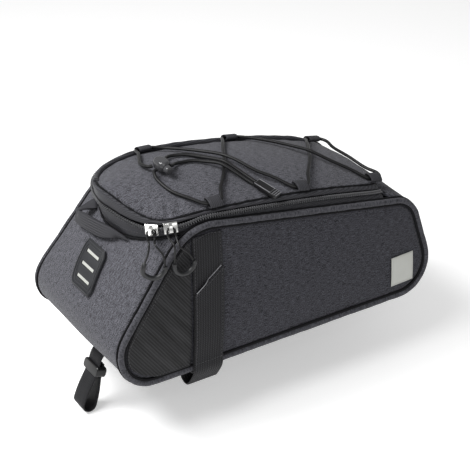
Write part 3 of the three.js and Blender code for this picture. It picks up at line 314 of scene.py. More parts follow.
def push(mesh, amount):
    """Moves each vertex along its normal by amount(points) in mm"""
    points = points_of(mesh)
    normals = np.empty(len(mesh.vertices) * 3, np.float32)
    mesh.vertices.foreach_get("normal", normals)
    moved = points + normals.reshape(-1, 3) * np.asarray(amount(points)).reshape(-1, 1)
    mesh.vertices.foreach_set("co", (moved * MM).astype(np.float32).ravel())
    mesh.update()


def sway(depth, grain, seed):
    """Slow unevenness of padded cloth"""
    def amount(points):
        return [depth * noise.noise(Vector(p) / grain + Vector((seed, 0, 0))) for p in points]
    return amount


def puckers(seam, depth, reach, period, seed):
    """Gathers that start at a seam and die out over a reach, at an uneven period along it"""
    tree = kdtree.KDTree(len(seam))
    for i, p in enumerate(seam):
        tree.insert(p, i)
    tree.balance()
    steps = np.linalg.norm(np.diff(np.array([tuple(p) for p in seam]), axis=0), axis=1)
    along = np.concatenate([[0], np.cumsum(steps)])

    def amount(points):
        found = []
        for p in points:
            _, i, away = tree.find(p)
            wave = noise.noise(Vector((along[i] / period, seed, away / 60)))
            found.append(depth * wave * math.exp(-away / reach) * min(away / 2.5, 1))
        return found
    return amount


def near(points, place, reach):
    """1 at a place, dying out over a reach"""
    return np.exp(-(np.linalg.norm(points - np.array(place), axis=1) / reach) ** 2)


def cloth_map(mesh, along, across):
    """UV map in mm, along and across the yarns, each a sum of shares of x, y and z"""
    corners = np.empty(len(mesh.loops), np.int32)
    mesh.loops.foreach_get("vertex_index", corners)
    while mesh.uv_layers:
        mesh.uv_layers.remove(mesh.uv_layers[0])
    layer = mesh.uv_layers.new(name="cloth")
    pairs = points_of(mesh) @ np.array([along, across], float).T
    layer.uv.foreach_set("vector", pairs[corners].astype(np.float32).ravel())


def piece(name, mesh, finish, slot, *nodes, sharp=50):
    """Puts a finished mesh in the scene as a piece that rides on the bag"""
    mesh.name = name
    mesh.materials.clear()
    mesh.materials.append(bpy.data.materials[finish])
    mesh.shade_smooth()
    mesh.set_sharp_from_angle(angle=math.radians(sharp))
    made = bpy.data.objects.new(name, mesh)
    bpy.context.scene.collection.objects.link(made)
    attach(made, "root")
    if nodes:
        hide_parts(*nodes)
    return made


def smooth_route(points, step, closed=False):
    """Points about a step apart on a centripetal Catmull-Rom line through the given ones"""
    knots = [Vector(p) for p in points]
    if closed:
        knots = [knots[-1], *knots, knots[0], knots[1]]
    else:
        knots = [2 * knots[0] - knots[1], *knots, 2 * knots[-1] - knots[-2]]
    dense = []
    for a, b, c, d in zip(knots, knots[1:], knots[2:], knots[3:]):
        before, here, after = (max((q - p).length, 1e-3) ** 0.5 for p, q in ((a, b), (b, c), (c, d)))
        leave = ((b - a) / before - (c - a) / (before + here) + (c - b) / here) * here
        arrive = ((c - b) / here - (d - b) / (here + after) + (d - c) / after) * here
        for k in range(24):
            t = k / 24
            dense.append(b * (2 * t ** 3 - 3 * t ** 2 + 1) + leave * (t ** 3 - 2 * t ** 2 + t)
                         + c * (3 * t ** 2 - 2 * t ** 3) + arrive * (t ** 3 - t ** 2))
    dense.append(knots[-2])
    line = np.array([tuple(p) for p in dense])
    reach = np.concatenate([[0], np.cumsum(np.linalg.norm(np.diff(line, axis=0), axis=1))])
    count = max(2, round(reach[-1] / step)) + 1
    places = np.linspace(0, reach[-1], count)
    found = [Vector([np.interp(s, reach, line[:, k]) for k in range(3)]) for s in places]
    return found[:-1] if closed else found


def sweep(route, diameter, sides=12, closed=False, facing=None):
    """Tube along a route; its UV map is mm along and the share round, from the facing direction"""
    count = len(route)
    facing = Vector(facing) if facing else None
    normal = Vector((0.3, 0.2, 1))
    rings, reach, length = [], [0.0], 0.0
    for i, p in enumerate(route):
        ahead = route[(i + 1) % count] if closed or i < count - 1 else route[i]
        behind = route[i - 1] if closed or i else route[i]
        tangent = (ahead - behind).normalized()
        start = facing or normal
        normal = (start - tangent * start.dot(tangent)).normalized()
        side = tangent.cross(normal)
        rings.append([p + (normal * math.cos(a) + side * math.sin(a)) * diameter / 2
                      for a in (2 * math.pi * k / sides for k in range(sides))])
        if i:
            length += (p - route[i - 1]).length
            reach.append(length)
    reach.append(length + (route[0] - route[-1]).length)
    faces, pairs = [], []
    for i in range(count if closed else count - 1):
        j = (i + 1) % count
        for k in range(sides):
            m = (k + 1) % sides
            faces.append((i * sides + k, j * sides + k, j * sides + m, i * sides + m))
            low, high = k / sides, (k + 1) / sides
            pairs += [(reach[i], low), (reach[i + 1], low), (reach[i + 1], high), (reach[i], high)]
    if not closed:
        for ring, order in ((0, 1), (count - 1, -1)):
            faces.append(tuple(ring * sides + k for k in range(sides))[::order])
            pairs += [(reach[ring], 0.25)] * sides
    mesh = bpy.data.meshes.new("tube")
    mesh.from_pydata([tuple(v * MM) for ring in rings for v in ring], [], faces)
    layer = mesh.uv_layers.new(name="cloth")
    layer.uv.foreach_set("vector", np.array(pairs, np.float32).ravel())
    skin = bmesh.new()
    skin.from_mesh(mesh)
    bpy.data.meshes.remove(mesh)
    bmesh.ops.recalc_face_normals(skin, faces=skin.faces)
    return mesh_from(skin, "tube")


def joined(meshes):
    """One mesh of several"""
    skin = bmesh.new()
    for mesh in meshes:
        skin.from_mesh(mesh)
    return mesh_from(skin, "joined")


def surface_of(*pieces):
    """Search tree of what shows of these pieces, in mm"""
    vertices, faces = [], []
    for name in pieces:
        mesh = bpy.data.objects[name].data
        start = len(vertices)
        vertices += [Vector(p) for p in points_of(mesh)]
        faces += [[start + k for k in face.vertices] for face in mesh.polygons]
    return BVHTree.FromPolygons(vertices, faces)


def laid(tree, points, direction, lift):
    """Points thrown from 60 mm off onto a surface along a direction, with their lift off it"""
    found = []
    for p in points:
        start = Vector(p) - Vector(direction) * 60
        place, normal, _, _ = tree.ray_cast(start, Vector(direction))
        if place:
            found.append(place + normal * lift)
    return found


# The outline of the body and the seams along the zip band

def outline(inset, steps=ARC_STEPS):
    """Closed side outline of the body, drawn in by an inset, as (x, z) in mm"""
    half = BODY_LENGTH / 2
    rear = math.pi / 2 - math.atan(REAR_RAKE)
    front = math.pi / 2 - math.atan(FRONT_RAKE)
    rear_base = -half + RADII["rear_base"] * (1 - 1 / math.tan(rear / 2))
    front_base = half - RADII["front_base"] * (1 - 1 / math.tan(front / 2))
    corners = [
        (rear_base, 0, RADII["rear_base"]),
        (front_base, 0, RADII["front_base"]),
        (front_base - FRONT_RAKE * FRONT_TOP, FRONT_TOP, RADII["front_top"]),
        (rear_base + REAR_RAKE * REAR_TOP, REAR_TOP, RADII["rear_top"]),
    ]
    found = []
    for i, (x, z, radius) in enumerate(corners):
        corner = Vector((x, z))
        back = (Vector(corners[i - 1][:2]) - corner).normalized()
        ahead = (Vector(corners[(i + 1) % 4][:2]) - corner).normalized()
        half_angle = math.acos(back.dot(ahead)) / 2
        centre = corner + (back + ahead).normalized() * radius / math.sin(half_angle)
        start = math.atan2(-back.x, back.y) + math.pi
        for k in range(steps + 1):
            angle = start + (math.pi - 2 * half_angle) * k / steps
            found.append(centre + Vector((math.cos(angle), math.sin(angle))) * max(radius - inset, 1))
    return found


def side_half(z):
    return BASE_HALF - SIDE_LEAN * z


def round_side(side, inset, out, step=2.5):
    """Closed route round a side: inset from the outline and out from the piping's middle"""
    corners = outline(inset)
    filled = []
    for a, b in zip(corners, corners[1:] + corners[:1]):
        parts = max(1, round((b - a).length / 12))
        filled += [a.lerp(b, k / parts) for k in range(parts)]
    return smooth_route([(p.x, side * (side_half(p.y) + out), p.y) for p in filled], step, closed=True)


def inner_half(z):
    return side_half(z) - PIPING / 2 - 2 * SEAM_GAP


def body_top(x):
    """Height of the outline's top at a place along it"""
    rows = sorted(tuple(p) for p in outline(0, SOLID_STEPS) if p.y > FRONT_TOP * 0.9)
    return np.interp(x, *zip(*rows))


def rear_x(y, z):
    """Where the crowned rear end stands, away from the middle plane by y and at a height"""
    corners = outline(0, SOLID_STEPS)
    path = np.array([tuple(p) for p in corners[SOLID_STEPS::-1] + corners[:-SOLID_STEPS - 2:-1]])
    reach = np.concatenate([[0], np.cumsum(np.linalg.norm(np.diff(path, axis=0), axis=1))])
    lengths = np.linspace(0, reach[-1], 4000)

    def at(places):
        return np.array([np.interp(places, reach, path[:, k]) for k in (0, 1)])
    run, rise = at(lengths + 4) - at(lengths - 4)
    here, height = at(lengths)
    grow = np.clip((height - 12) / 70, 0, 1)
    share = y / inner_half(z)
    out = REAR_CROWN * grow ** 2 * (3 - 2 * grow) * (1 - share ** 2) / np.hypot(run, rise)
    return np.interp(z, height + out * run, here - out * rise)


def band_station(i):
    """A row of the lid's edge: the lid seam, the zip line that bulges out, and the lower seam on the body"""
    (x, y), (back_x, back_y), (next_x, next_y) = (
        (LID_REAR + LID_LENGTH * along, -LID_WIDTH / 2 * wide)
        for along, wide, _ in (LID_EDGE[i], LID_EDGE[max(i - 1, 0)], LID_EDGE[i + 1]))
    along, _, high = LID_EDGE[i]
    away = Vector((next_y - back_y, back_x - next_x, 0)).normalized() if i else Vector((-1, 0, 0))
    height = LID_FRONT_HEIGHT + (LID_REAR_HEIGHT - LID_FRONT_HEIGHT) * high
    top = Vector((x, y, height - 0.5)) + away * 5 * SEAM_GAP
    low = body_top(x) - 1.2
    on_side = along > 0.15
    if on_side:
        bottom, bulge, lift = Vector((x, -inner_half(low) - 0.6, low)), ZIP_BULGE_SIDE, 0
    else:
        y *= 1.02 + 0.14 * (y / inner_half(low)) ** 4
        z = SKIRT_BOTTOM + SKIRT_RISE * (y / 66) ** 2
        bottom, bulge, lift = Vector((rear_x(y, z) - 1.2, y, z)), ZIP_BULGE_REAR, 1.5
    bulge += (ZIP_BULGE_CORNER - bulge) * max(0, 1 - abs(along - 0.091) / 0.075)
    return top, bottom.lerp(top, 0.56) + away * bulge + Vector((0, 0, lift)), bottom


def round_band(place, out):
    """A line round the zip band, through place(top, line, bottom) of its stations, which are kept to the
    nearest 0.1 mm, and out from it"""
    half = []
    for i in reversed(range(ZIP_ROWS)):
        back = Vector((ZIP_END_BACK if i == ZIP_ROWS - 1 else 0, 0, 0))
        top, line, bottom = (Vector([round(v, 1) for v in p - back]) for p in band_station(i))
        away = Vector((line.x - BAND_MIDDLE if line.x < BAND_TURN else 0, line.y, 0))
        half.append(place(top, line, bottom) + away.normalized() * out)
    return half + [Vector((p.x, -p.y, p.z)) for p in half[-2::-1]]


def band_line(down, out):
    """Some way down from the zip line"""
    return round_band(lambda top, line, bottom: line + (bottom - top).normalized() * down, out)


def band_row(share, out=0.0):
    """Share 0 is the lid's seam, 1 the zip line, 2 the lower seam"""
    return round_band(lambda top, line, bottom: top.lerp(line, share) if share <= 1
                      else line.lerp(bottom, share - 1), out)


# Materials

def add(tree, kind, links=None, **settings):
    """Adds a node with its settings, and links or sets its sockets"""
    made = tree.nodes.new(kind)
    for name, value in settings.items():
        setattr(made, name, value)
    for name, value in (links or {}).items():
        if isinstance(value, bpy.types.NodeSocket):
            tree.links.new(value, made.inputs[name])
        else:
            made.inputs[name].default_value = value
    return made


def out(tree, kind, links=None, **settings):
    """The first output of an added node"""
    return add(tree, kind, links, **settings).outputs[0]


def blank(name, **values):
    """A material with a Principled surface and these values"""
    material = bpy.data.materials.new(name)
    material.use_nodes = True
    tree = material.node_tree
    tree.nodes.clear()
    surface = add(tree, "ShaderNodeBsdfPrincipled", values)
    add(tree, "ShaderNodeOutputMaterial", {"Surface": surface.outputs["BSDF"]})
    return tree, surface


def shade(colour, by):
    """A colour made darker or lighter, for a socket or for another shade"""
    return (*(min(1, c * by) for c in colour[:3]), 1)


def yarn_map(tree, along, across):
    """The cloth's own UV map, in repeats per mm along and across"""
    source = out(tree, "ShaderNodeUVMap", uv_map="cloth")
    return out(tree, "ShaderNodeMapping", {"Vector": source, "Scale": (along, across, 1)})


def noise_of(tree, place, detail, roughness=0.5, scale=1.0):
    """A noise's value at a place"""
    sockets = {"Vector": place, "Scale": scale, "Detail": detail, "Roughness": roughness}
    return out(tree, "ShaderNodeTexNoise", sockets)


def reckon(tree, operation, *values):
    """A sum worked out by a node"""
    return out(tree, "ShaderNodeMath", dict(enumerate(values)), operation=operation)


def spread_of(tree, value, low, high, least=0.0, most=1.0):
    """From least to most between a low and a high value"""
    sockets = {"Value": value, "From Min": low, "From Max": high, "To Min": least, "To Max": most}
    return out(tree, "ShaderNodeMapRange", sockets)


def coat(tree, surface, share, dark, light, height, depth, strength):
    """Colours the surface from dark to light by a share, and bumps it by a height, to a depth in mm"""
    tint = add(tree, "ShaderNodeMix", {"Factor": share, "A": dark, "B": light}, data_type="RGBA")
    bump = add(tree, "ShaderNodeBump", {"Height": height, "Distance": depth * MM, "Strength": strength})
    tree.links.new(tint.outputs["Result"], surface.inputs["Base Color"])
    tree.links.new(bump.outputs["Normal"], surface.inputs["Normal"])


def heather_polyester(name, colour):
    """Light and dark yarns woven plain: short streaks about 1 mm long and 0.4 mm wide, and longer, fainter
    slubs, both set against the photograph"""
    tree, surface = blank(name, **{"Roughness": 0.85, "Sheen Weight": 0.06, "Sheen Roughness": 0.5,
                                   "Specular IOR Level": 0.12})
    streaks = noise_of(tree, yarn_map(tree, 1.0, 2.6), 3.0, 0.7)
    slubs = noise_of(tree, yarn_map(tree, 0.17, 1.7), 2.0, 0.6)
    spread = spread_of(tree, reckon(tree, "MULTIPLY_ADD", slubs, 0.5, streaks), 0.66, 0.84)
    weave = noise_of(tree, yarn_map(tree, 0.7, 1.6), 2.0)
    coat(tree, surface, spread, shade(colour, 0.05), shade(colour, 1.95), weave, 0.2, 0.7)


def axes_of(tree, place):
    """The first two parts of a place"""
    split = add(tree, "ShaderNodeSeparateXYZ", {"Vector": place}).outputs
    return split["X"], split["Y"]


def woven_webbing(name, colour, pick, end, relief, lift):
    """Polyester webbing: picks across and warp ends along it stand up as rows of small round lumps,
    which catch the light as dots. The periods, pick along and end across in mm, are given, some of
    them coarser than webbing is woven, so that they show."""
    tree, surface = blank(name, **{"Roughness": 0.6, "Specular IOR Level": 0.16})
    x, y = axes_of(tree, yarn_map(tree, 2 * math.pi / pick, 2 * math.pi / end))
    dots = reckon(tree, "MULTIPLY_ADD", reckon(tree, "SINE", x), 0.5, 0.5)
    raised = spread_of(tree, reckon(tree, "MULTIPLY", dots, reckon(tree, "SINE", y)), -1.0, 1.0)
    # Painted highlight and shade: the raised lumps are coloured lighter by lift and the dips darker, as well as
    # bumped
    coat(tree, surface, raised, shade(colour, 1 - 0.5 * lift), shade(colour, 1 + lift), raised, relief, 0.8)


def braided_cord(name, colour, pitch=3.0):
    """Braided polyester over rubber: carriers cross at a slant, so the cover shows small lozenges"""
    tree, surface = blank(name, **{"Roughness": 0.42, "Specular IOR Level": 0.28})
    x, y = axes_of(tree, yarn_map(tree, 1, 1))
    waves = []
    for sign in (1, -1):
        turn = reckon(tree, "MULTIPLY", y, sign * 8 * math.pi)
        waves.append(reckon(tree, "SINE", reckon(tree, "MULTIPLY_ADD", x, 2 * math.pi / pitch, turn)))
    raised = spread_of(tree, reckon(tree, "MULTIPLY", *waves), -1.0, 1.0)
    # Painted highlight and shade: the raised carriers are coloured lighter and the dips between them darker, as
    # well as bumped
    coat(tree, surface, raised, shade(colour, 0.6), shade(colour, 1.5), raised, 0.2, 0.7)


def bound_piping(name, colour):
    """Heather cloth folded round a core, with its streaks along the tube"""
    tree, surface = blank(name, **{"Roughness": 0.8, "Specular IOR Level": 0.15, "Sheen Weight": 0.05})
    streaks = noise_of(tree, yarn_map(tree, 0.7, 5.0), 3.0, 0.65)
    lit = spread_of(tree, streaks, 0.35, 0.65)
    coat(tree, surface, lit, shade(colour, 0.4), shade(colour, 1.5), streaks, 0.3, 0.7)


def coated_twill(name, colour, pitch=2.4):
    """Coated twill: slanted ribs under a half-matt film, with broad creases along the ribs"""
    tree, surface = blank(name, **{"Roughness": 0.5, "Specular IOR Level": 0.15})
    turned = out(tree, "ShaderNodeMapping",
                 {"Vector": yarn_map(tree, 1, 1), "Rotation": (0, 0, math.radians(-36))})
    across, _ = axes_of(tree, turned)
    ribs = reckon(tree, "SINE", reckon(tree, "MULTIPLY", across, 2 * math.pi / pitch))
    raised = spread_of(tree, ribs, -1.0, 1.0)
    long = out(tree, "ShaderNodeMapping", {"Vector": turned, "Scale": (0.16, 0.016, 1)})
    creases = noise_of(tree, long, 3.0, 0.6)
    # Painted highlight and shade: lit colours the rib crests and the creases lighter and the rib valleys darker
    lit = reckon(tree, "MULTIPLY_ADD", raised, 0.55, reckon(tree, "MULTIPLY_ADD", creases, 1.6, -0.55))
    height = reckon(tree, "MULTIPLY_ADD", creases, 3.0, raised)
    coat(tree, surface, lit, shade(colour, 0.3), shade(colour, 3.4), height, 0.3, 0.7)


def grained(name, colour, roughness, grain, depth, metallic=0.0, spread=0.15, specular=0.5):
    """Moulded, filmed or plated surface: an even colour, with the mould's or the film's fine grain in mm"""
    tree, surface = blank(name, **{"Metallic": metallic, "Specular IOR Level": specular})
    place = add(tree, "ShaderNodeTexCoord").outputs["Object"]
    fine = noise_of(tree, place, 2.0, scale=1 / (grain * MM))
    broad = noise_of(tree, place, 2.0, scale=60.0)
    tree.links.new(spread_of(tree, broad, 0, 1, roughness * 0.8, roughness * 1.2), surface.inputs["Roughness"])
    coat(tree, surface, broad, shade(colour, 1 - spread), shade(colour, 1 + spread), fine, depth, 0.5)


# What repeats along a path, and its measures
FORM = ("Spacing", "Length", "Width", "Height")


def repeat_tree():
    """Geometry Nodes: a small round body at each spacing along every path, turned along and across it"""
    tree = bpy.data.node_groups.new("repeat along a path", "GeometryNodeTree")
    sockets = tree.interface
    sockets.new_socket("Geometry", in_out="INPUT", socket_type="NodeSocketGeometry")
    for label in FORM:
        sockets.new_socket(label, in_out="INPUT", socket_type="NodeSocketFloat")
    sockets.new_socket("Finish", in_out="INPUT", socket_type="NodeSocketMaterial")
    sockets.new_socket("Geometry", in_out="OUTPUT", socket_type="NodeSocketGeometry")
    start = add(tree, "NodeGroupInput").outputs
    line = out(tree, "GeometryNodeMeshToCurve", {"Mesh": start["Geometry"]})
    places = add(tree, "GeometryNodeCurveToPoints", {"Curve": line, "Length": start["Spacing"]},
                 mode="LENGTH").outputs
    across = out(tree, "GeometryNodeInputNamedAttribute", {"Name": "across"}, data_type="FLOAT_VECTOR")
    turned = out(tree, "FunctionNodeAlignRotationToVector", {"Vector": places["Tangent"]}, axis="X")
    rolled = out(tree, "FunctionNodeAlignRotationToVector", {"Rotation": turned, "Vector": across},
                 axis="Y", pivot_axis="X")
    bead = out(tree, "GeometryNodeMeshUVSphere", {"Segments": 8, "Rings": 5, "Radius": 0.5})
    form = out(tree, "ShaderNodeCombineXYZ", {"X": start["Length"], "Y": start["Width"], "Z": start["Height"]})
    placed = out(tree, "GeometryNodeInstanceOnPoints",
                 {"Points": places["Points"], "Instance": bead, "Rotation": rolled, "Scale": form})
    real = out(tree, "GeometryNodeRealizeInstances", {"Geometry": placed})
    painted = out(tree, "GeometryNodeSetMaterial", {"Geometry": real, "Material": start["Finish"]})
    add(tree, "NodeGroupOutput", {"Geometry": painted})
    return tree


def repeated(paths, spacing, form, finish, across=Z):
    """Mesh of small bodies along paths of points in mm, each turned to a direction across its path"""
    vertices, edges = [], []
    for path in paths:
        start = len(vertices)
        vertices += [tuple(Vector(p) * MM) for p in path]
        edges += [(start + i, start + i + 1) for i in range(len(path) - 1)]
    mesh = bpy.data.meshes.new("paths")
    mesh.from_pydata(vertices, edges, [])
    turned = mesh.attributes.new("across", "FLOAT_VECTOR", "POINT")
    turned.data.foreach_set("vector", np.tile(np.array(across, float), len(vertices)))
    tree = bpy.data.node_groups.get("repeat along a path") or repeat_tree()
    values = dict(zip(FORM, (spacing, *form)), Finish=bpy.data.materials[finish])

    def modify(worker):
        row = worker.modifiers.new("row", "NODES")
        row.node_group = tree
        for item in tree.interface.items_tree:
            if item.in_out == "INPUT" and item.name in values:
                row[item.identifier] = values[item.name]
    return bake(mesh, modify)


def stitched(name, paths, across=Z):
    """Rows of stitches as a piece"""
    s = sizes()
    form = (s.stitch_length, s.thread, s.thread * 0.8)
    mesh = repeated(paths, s.stitch_spacing, form, "sewing thread", across)
    piece(name, mesh, "sewing thread", "webbing")


class RACKBAG_OT_finishes(bpy.types.Operator):
    """Make every cloth, cord, plastic and metal finish"""
    bl_idname = "rackbag.finishes"
    bl_label = "Finishes"

    def execute(self, context):
        c = colours()
        heather_polyester("light heather polyester", c.light_heather)
        heather_polyester("dark heather polyester", c.dark_heather)
        bound_piping("heather piping", shade(c.light_heather, 0.8))
        woven_webbing("woven zip tape", c.tape, 1.9, 1.7, relief=0.25, lift=1.3)
        woven_webbing("mesh webbing", c.webbing, 2.2, 2.5, relief=0.6, lift=1.9)
        woven_webbing("ribbed webbing", shade(c.webbing, 2.6), 60.0, 2.6, relief=0.5, lift=0.7)
        woven_webbing("plain webbing", c.webbing, 1.6, 1.6, relief=0.25, lift=0.5)
        braided_cord("braided cord", c.cord)
        coated_twill("coated twill", c.guard)
        grained("moulded nylon", c.plastic, 0.32, 0.5, 0.05, specular=0.3)
        # Painted highlight: the plastic colour made seven times lighter, so that the coil's turns show as light
        # dots
        grained("coil nylon painted highlight", shade(c.plastic, 7), 0.4, 0.5, 0.05)
        # Painted highlight: the plastic colour made six times lighter for the cord lock and its button, on top
        # of their gloss
        grained("glossy nylon painted highlight", shade(c.plastic, 6), 0.2, 0.5, 0.03)
        # Painted highlight: the plastic colour made 24 times lighter, for the light edges of the cord end and
        # the light line along the side straps' hems
        grained("nylon edge painted highlight", shade(c.plastic, 24), 0.3, 0.5, 0.03)
        grained("moulded soft rubber", c.rubber, 0.5, 0.7, 0.08, specular=0.4)
        grained("dark soft rubber", shade(c.rubber, 0.5), 0.4, 0.7, 0.05, specular=0.45)
        grained("reflective film", c.film, 0.42, 0.4, 0.05, spread=0.06)
        grained("nickel plating", c.metal, 0.16, 1.5, 0.03, metallic=1.0, spread=0.05)
        grained("sewing thread", c.thread, 0.7, 0.4, 0.1)
        # Painted shade: the tape colour made much darker for the cloth rolls along the piping and the zip
        # band's seams, standing for the shade in those seams
        grained("seam roll painted shade", shade(c.tape, 0.3), 0.85, 0.8, 0.1, specular=0.1)
        return {"FINISHED"}


class RACKBAG_OT_panels(bpy.types.Operator):
    """Make the padded lid, rear, front and side panels, gathered a little at their seams"""
    bl_idname = "rackbag.panels"
    bl_label = "Padded panels"

    def execute(self, context):
        s = sizes()
        pucker, wander = s.pucker / MM, s.sway / MM
        lid_seam = smooth_route(band_row(0), 2)
        low_seam = smooth_route(band_row(2), 2)
        jobs = [
            ("lid_cloth", "lid_panel", "light heather polyester", "heather_light", lid_seam, 13, 9, X, Y),
            ("rear_cloth", "rear_panel", "light heather polyester", "heather_light", low_seam, 12, 11,
             (0, 0, 1.27), Y),
            ("front_cloth", "front_panel", "dark heather polyester", "heather_dark", low_seam, 10, 12, Y, Z),
        ]
        for word, side in SIDES:
            jobs.append((f"side_cloth_{word}", f"side_panel_{word}", "dark heather polyester", "heather_dark",
                         round_side(side, PIPING + 0.6, 0), 9, 13, X, Z))
        for seed, (name, node, finish, slot, seam, reach, period, along, across) in enumerate(jobs):
            mesh = sewn_skin(node, levels=3 if node == "lid_panel" else 2)
            if node == "lid_panel":
                gathered = puckers(seam, 5.5 * pucker, 24, 6, 4.5)
                push(mesh, lambda p: np.array(gathered(p)) * near(p, *LID_FOLDS))
                push(mesh, lambda p: -2.2 * near(p, *LID_DIP))
            push(mesh, puckers(seam, 1.5 * pucker, reach, period, seed + 0.5))
            push(mesh, sway(wander, 42, seed * 7.3))
            cloth_map(mesh, along, across)
            piece(name, mesh, finish, slot, node)
        return {"FINISHED"}


class RACKBAG_OT_base(bpy.types.Operator):
    """Make the base cloth"""
    bl_idname = "rackbag.base"
    bl_label = "Base"

    def execute(self, context):
        mesh = sewn_skin("base_panel", levels=1, crease=0.8)
        cloth_map(mesh, X, Y)
        piece("base_cloth", mesh, "plain webbing", "webbing", "base_panel")
        return {"FINISHED"}


class RACKBAG_OT_guards(bpy.types.Operator):
    """Make the coated corner guards with the soft fold that crosses them"""
    bl_idname = "rackbag.guards"
    bl_label = "Corner guards"

    def execute(self, context):
        (x, y, z), reach = GUARD_FOLD
        for word, side in SIDES:
            mesh = sewn_skin(f"corner_guard_{word}", levels=3, crease=0.7)

            def fold(p):
                away = (p[:, 0] - x) * 0.77 + (p[:, 2] - z) * 0.64
                return 1.5 * np.exp(-(away / 8) ** 2) * near(p, (x, side * y, z), reach)
            push(mesh, fold)
            cloth_map(mesh, X, Z)
            piece(f"guard_cloth_{word}", mesh, "coated twill", "coated_cloth", f"corner_guard_{word}")
        return {"FINISHED"}


class RACKBAG_OT_piping(bpy.types.Operator):
    """Make the piping round both sides and the seams at its flanks, dark with painted shade"""
    bl_idname = "rackbag.piping"
    bl_label = "Piping"

    def execute(self, context):
        roll, core = sizes().seam_roll / MM, PIPING - 1
        for word, side in SIDES:
            route = round_side(side, core / 2 + 0.3, 0.2, 1.8)
            tube = sweep(route, core, 16, closed=True, facing=(0, side, 0))
            push(tube, sway(0.35, 9, side))
            piece(f"piping_{word}", tube, "heather piping", "piping_cloth", f"side_piping_{word}")
            # Dark rolls on both flanks of the piping: painted shade of the seams
            flanks = [sweep(round_side(side, inset, out), width, 8, closed=True, facing=(0, side, 0))
                      for inset, out, width in ((0.7, -2.9, roll), (PIPING - 0.1, 0.6, roll + 0.8))]
            piece(f"piping_seams_{word}", joined(flanks), "seam roll painted shade", "tape_cloth")
        return {"FINISHED"}


class RACKBAG_OT_zip(bpy.types.Operator):
    """Make the zip tapes, their rolled seams darkened as painted shade, and the coil with its two rows of turns
    lightened as a painted highlight
    """
    bl_idname = "rackbag.zip"
    bl_label = "Zip"

    def execute(self, context):
        s = sizes()
        for node, share, seed in (("zip_tape_upper", 0, 21), ("zip_tape_lower", 2, 33)):
            mesh = sewn_skin(node)
            push(mesh, puckers(smooth_route(band_row(share), 2), s.pucker / MM, 8, 12, seed))
            if share == 0:
                far = [p + Vector((0, -1.2, 1.6)) for p in smooth_route(band_row(0, 0.2), 2.5) if p.y > 20]
                rim = sweep(far, 5.2, 10)
                push(rim, sway(0.5, 12, 5))
                mesh = joined([mesh, rim])
            cloth_map(mesh, (1, -1, 0), Z)
            piece(f"{node}_cloth", mesh, "woven zip tape", "tape_cloth", node)
        roll = s.seam_roll / MM
        # Dark rolls along the lid seam and the lower seam: painted shade of the seams
        rolls = [sweep(smooth_route(band_row(share, out), 2.5), roll, 8)
                 for share, out in ((0.0, 0.4), (2.0, 0.9))]
        for tube in rolls:
            push(tube, sway(0.9, 5, 3))
        piece("zip_seam_rolls", joined(rolls), "seam roll painted shade", "tape_cloth")
        # The coil and its turns take the lightened coil colour, a painted highlight
        core = sweep(smooth_route(band_row(1), 1.5), 2.2, 8)
        rows = [smooth_route(band_line(down, 0.9), 1.5) for down in (-1.15, 1.15)]
        turns = repeated(rows, s.tooth_pitch, (0.5 * s.tooth_pitch, 2.0 * MM, 2.6 * MM), "coil nylon painted highlight")
        piece("zip_coil_turns", joined([core, turns]), "coil nylon painted highlight", "black_plastic", "zip_coil")
        return {"FINISHED"}


class RACKBAG_OT_sliders(bpy.types.Operator):
    """Make the two plated sliders"""
    bl_idname = "rackbag.sliders"
    bl_label = "Sliders"

    def execute(self, context):
        for word in PULLS:
            node = f"zip_slider_{word}"
            piece(f"slider_{word}", moulded_skin(node, 0.35), "nickel plating", "bright_metal", node, sharp=60)
        return {"FINISHED"}


class RACKBAG_OT_webbing(bpy.types.Operator):
    """Make the side straps, cord loops, handle and rear strap"""
    bl_idname = "rackbag.webbing"
    bl_label = "Webbing"

    def execute(self, context):
        jobs = [(f"side_webbing_{word}", f"side_strap_{word}", "mesh webbing", Z, (1, 0, -STRAP_SLANT))
                for word, _ in SIDES]
        jobs += [(f"loop_{word}_{place}", f"cord_tab_{word}_{place}", "woven zip tape", Y, X)
                 for word, _ in SIDES for place in ("rear", "middle", "front")]
        jobs += [("handle_webbing", "rear_handle", "ribbed webbing", Y, (0, 0.12, 1.1)),
                 ("rear_webbing", "rear_strap", "plain webbing", Z, Y)]
        for name, node, finish, along, across in jobs:
            mesh = sewn_skin(node, crease=0.75)
            cloth_map(mesh, along, across)
            piece(name, mesh, finish, "webbing", node)
        return {"FINISHED"}


class RACKBAG_OT_cords(bpy.types.Operator):
    """Make the lashing cord, its two tails and the cord pulls with their grips"""
    bl_idname = "rackbag.cords"
    bl_label = "Cords"

    def execute(self, context):
        s = sizes()
        thick, thin = s.lashing / MM, s.pull / MM
        mesh = sweep(smooth_route(LASHING, 2.2), thick)
        piece("lashing", mesh, "braided cord", "cord_cloth", "lashing_cord")
        for node, points in TAILS.items():
            route = smooth_route(points, 1.5)
            tail = piece(f"{node}_braid", sweep(route, thick), "braided cord", "cord_cloth", node)
        for word, points in PULLS.items():
            grip = sweep(smooth_route(GRIPS[word], 1.2), s.grip / MM, 16)
            held = piece(f"grip_{word}", grip, "dark soft rubber", "grey_rubber", f"zip_grip_{word}")
            route = smooth_route(points, 0.8)
            middle = min(range(len(route)), key=lambda i: (route[i] - Vector(points[5])).length)
            for end, leg in (("a", route[middle::-1]), ("b", route[middle:])):
                cord = piece(f"pull_{word}_{end}", sweep(leg, thin, 10), "braided cord", "cord_cloth",
                             f"zip_pull_cord_{word}")
        return {"FINISHED"}


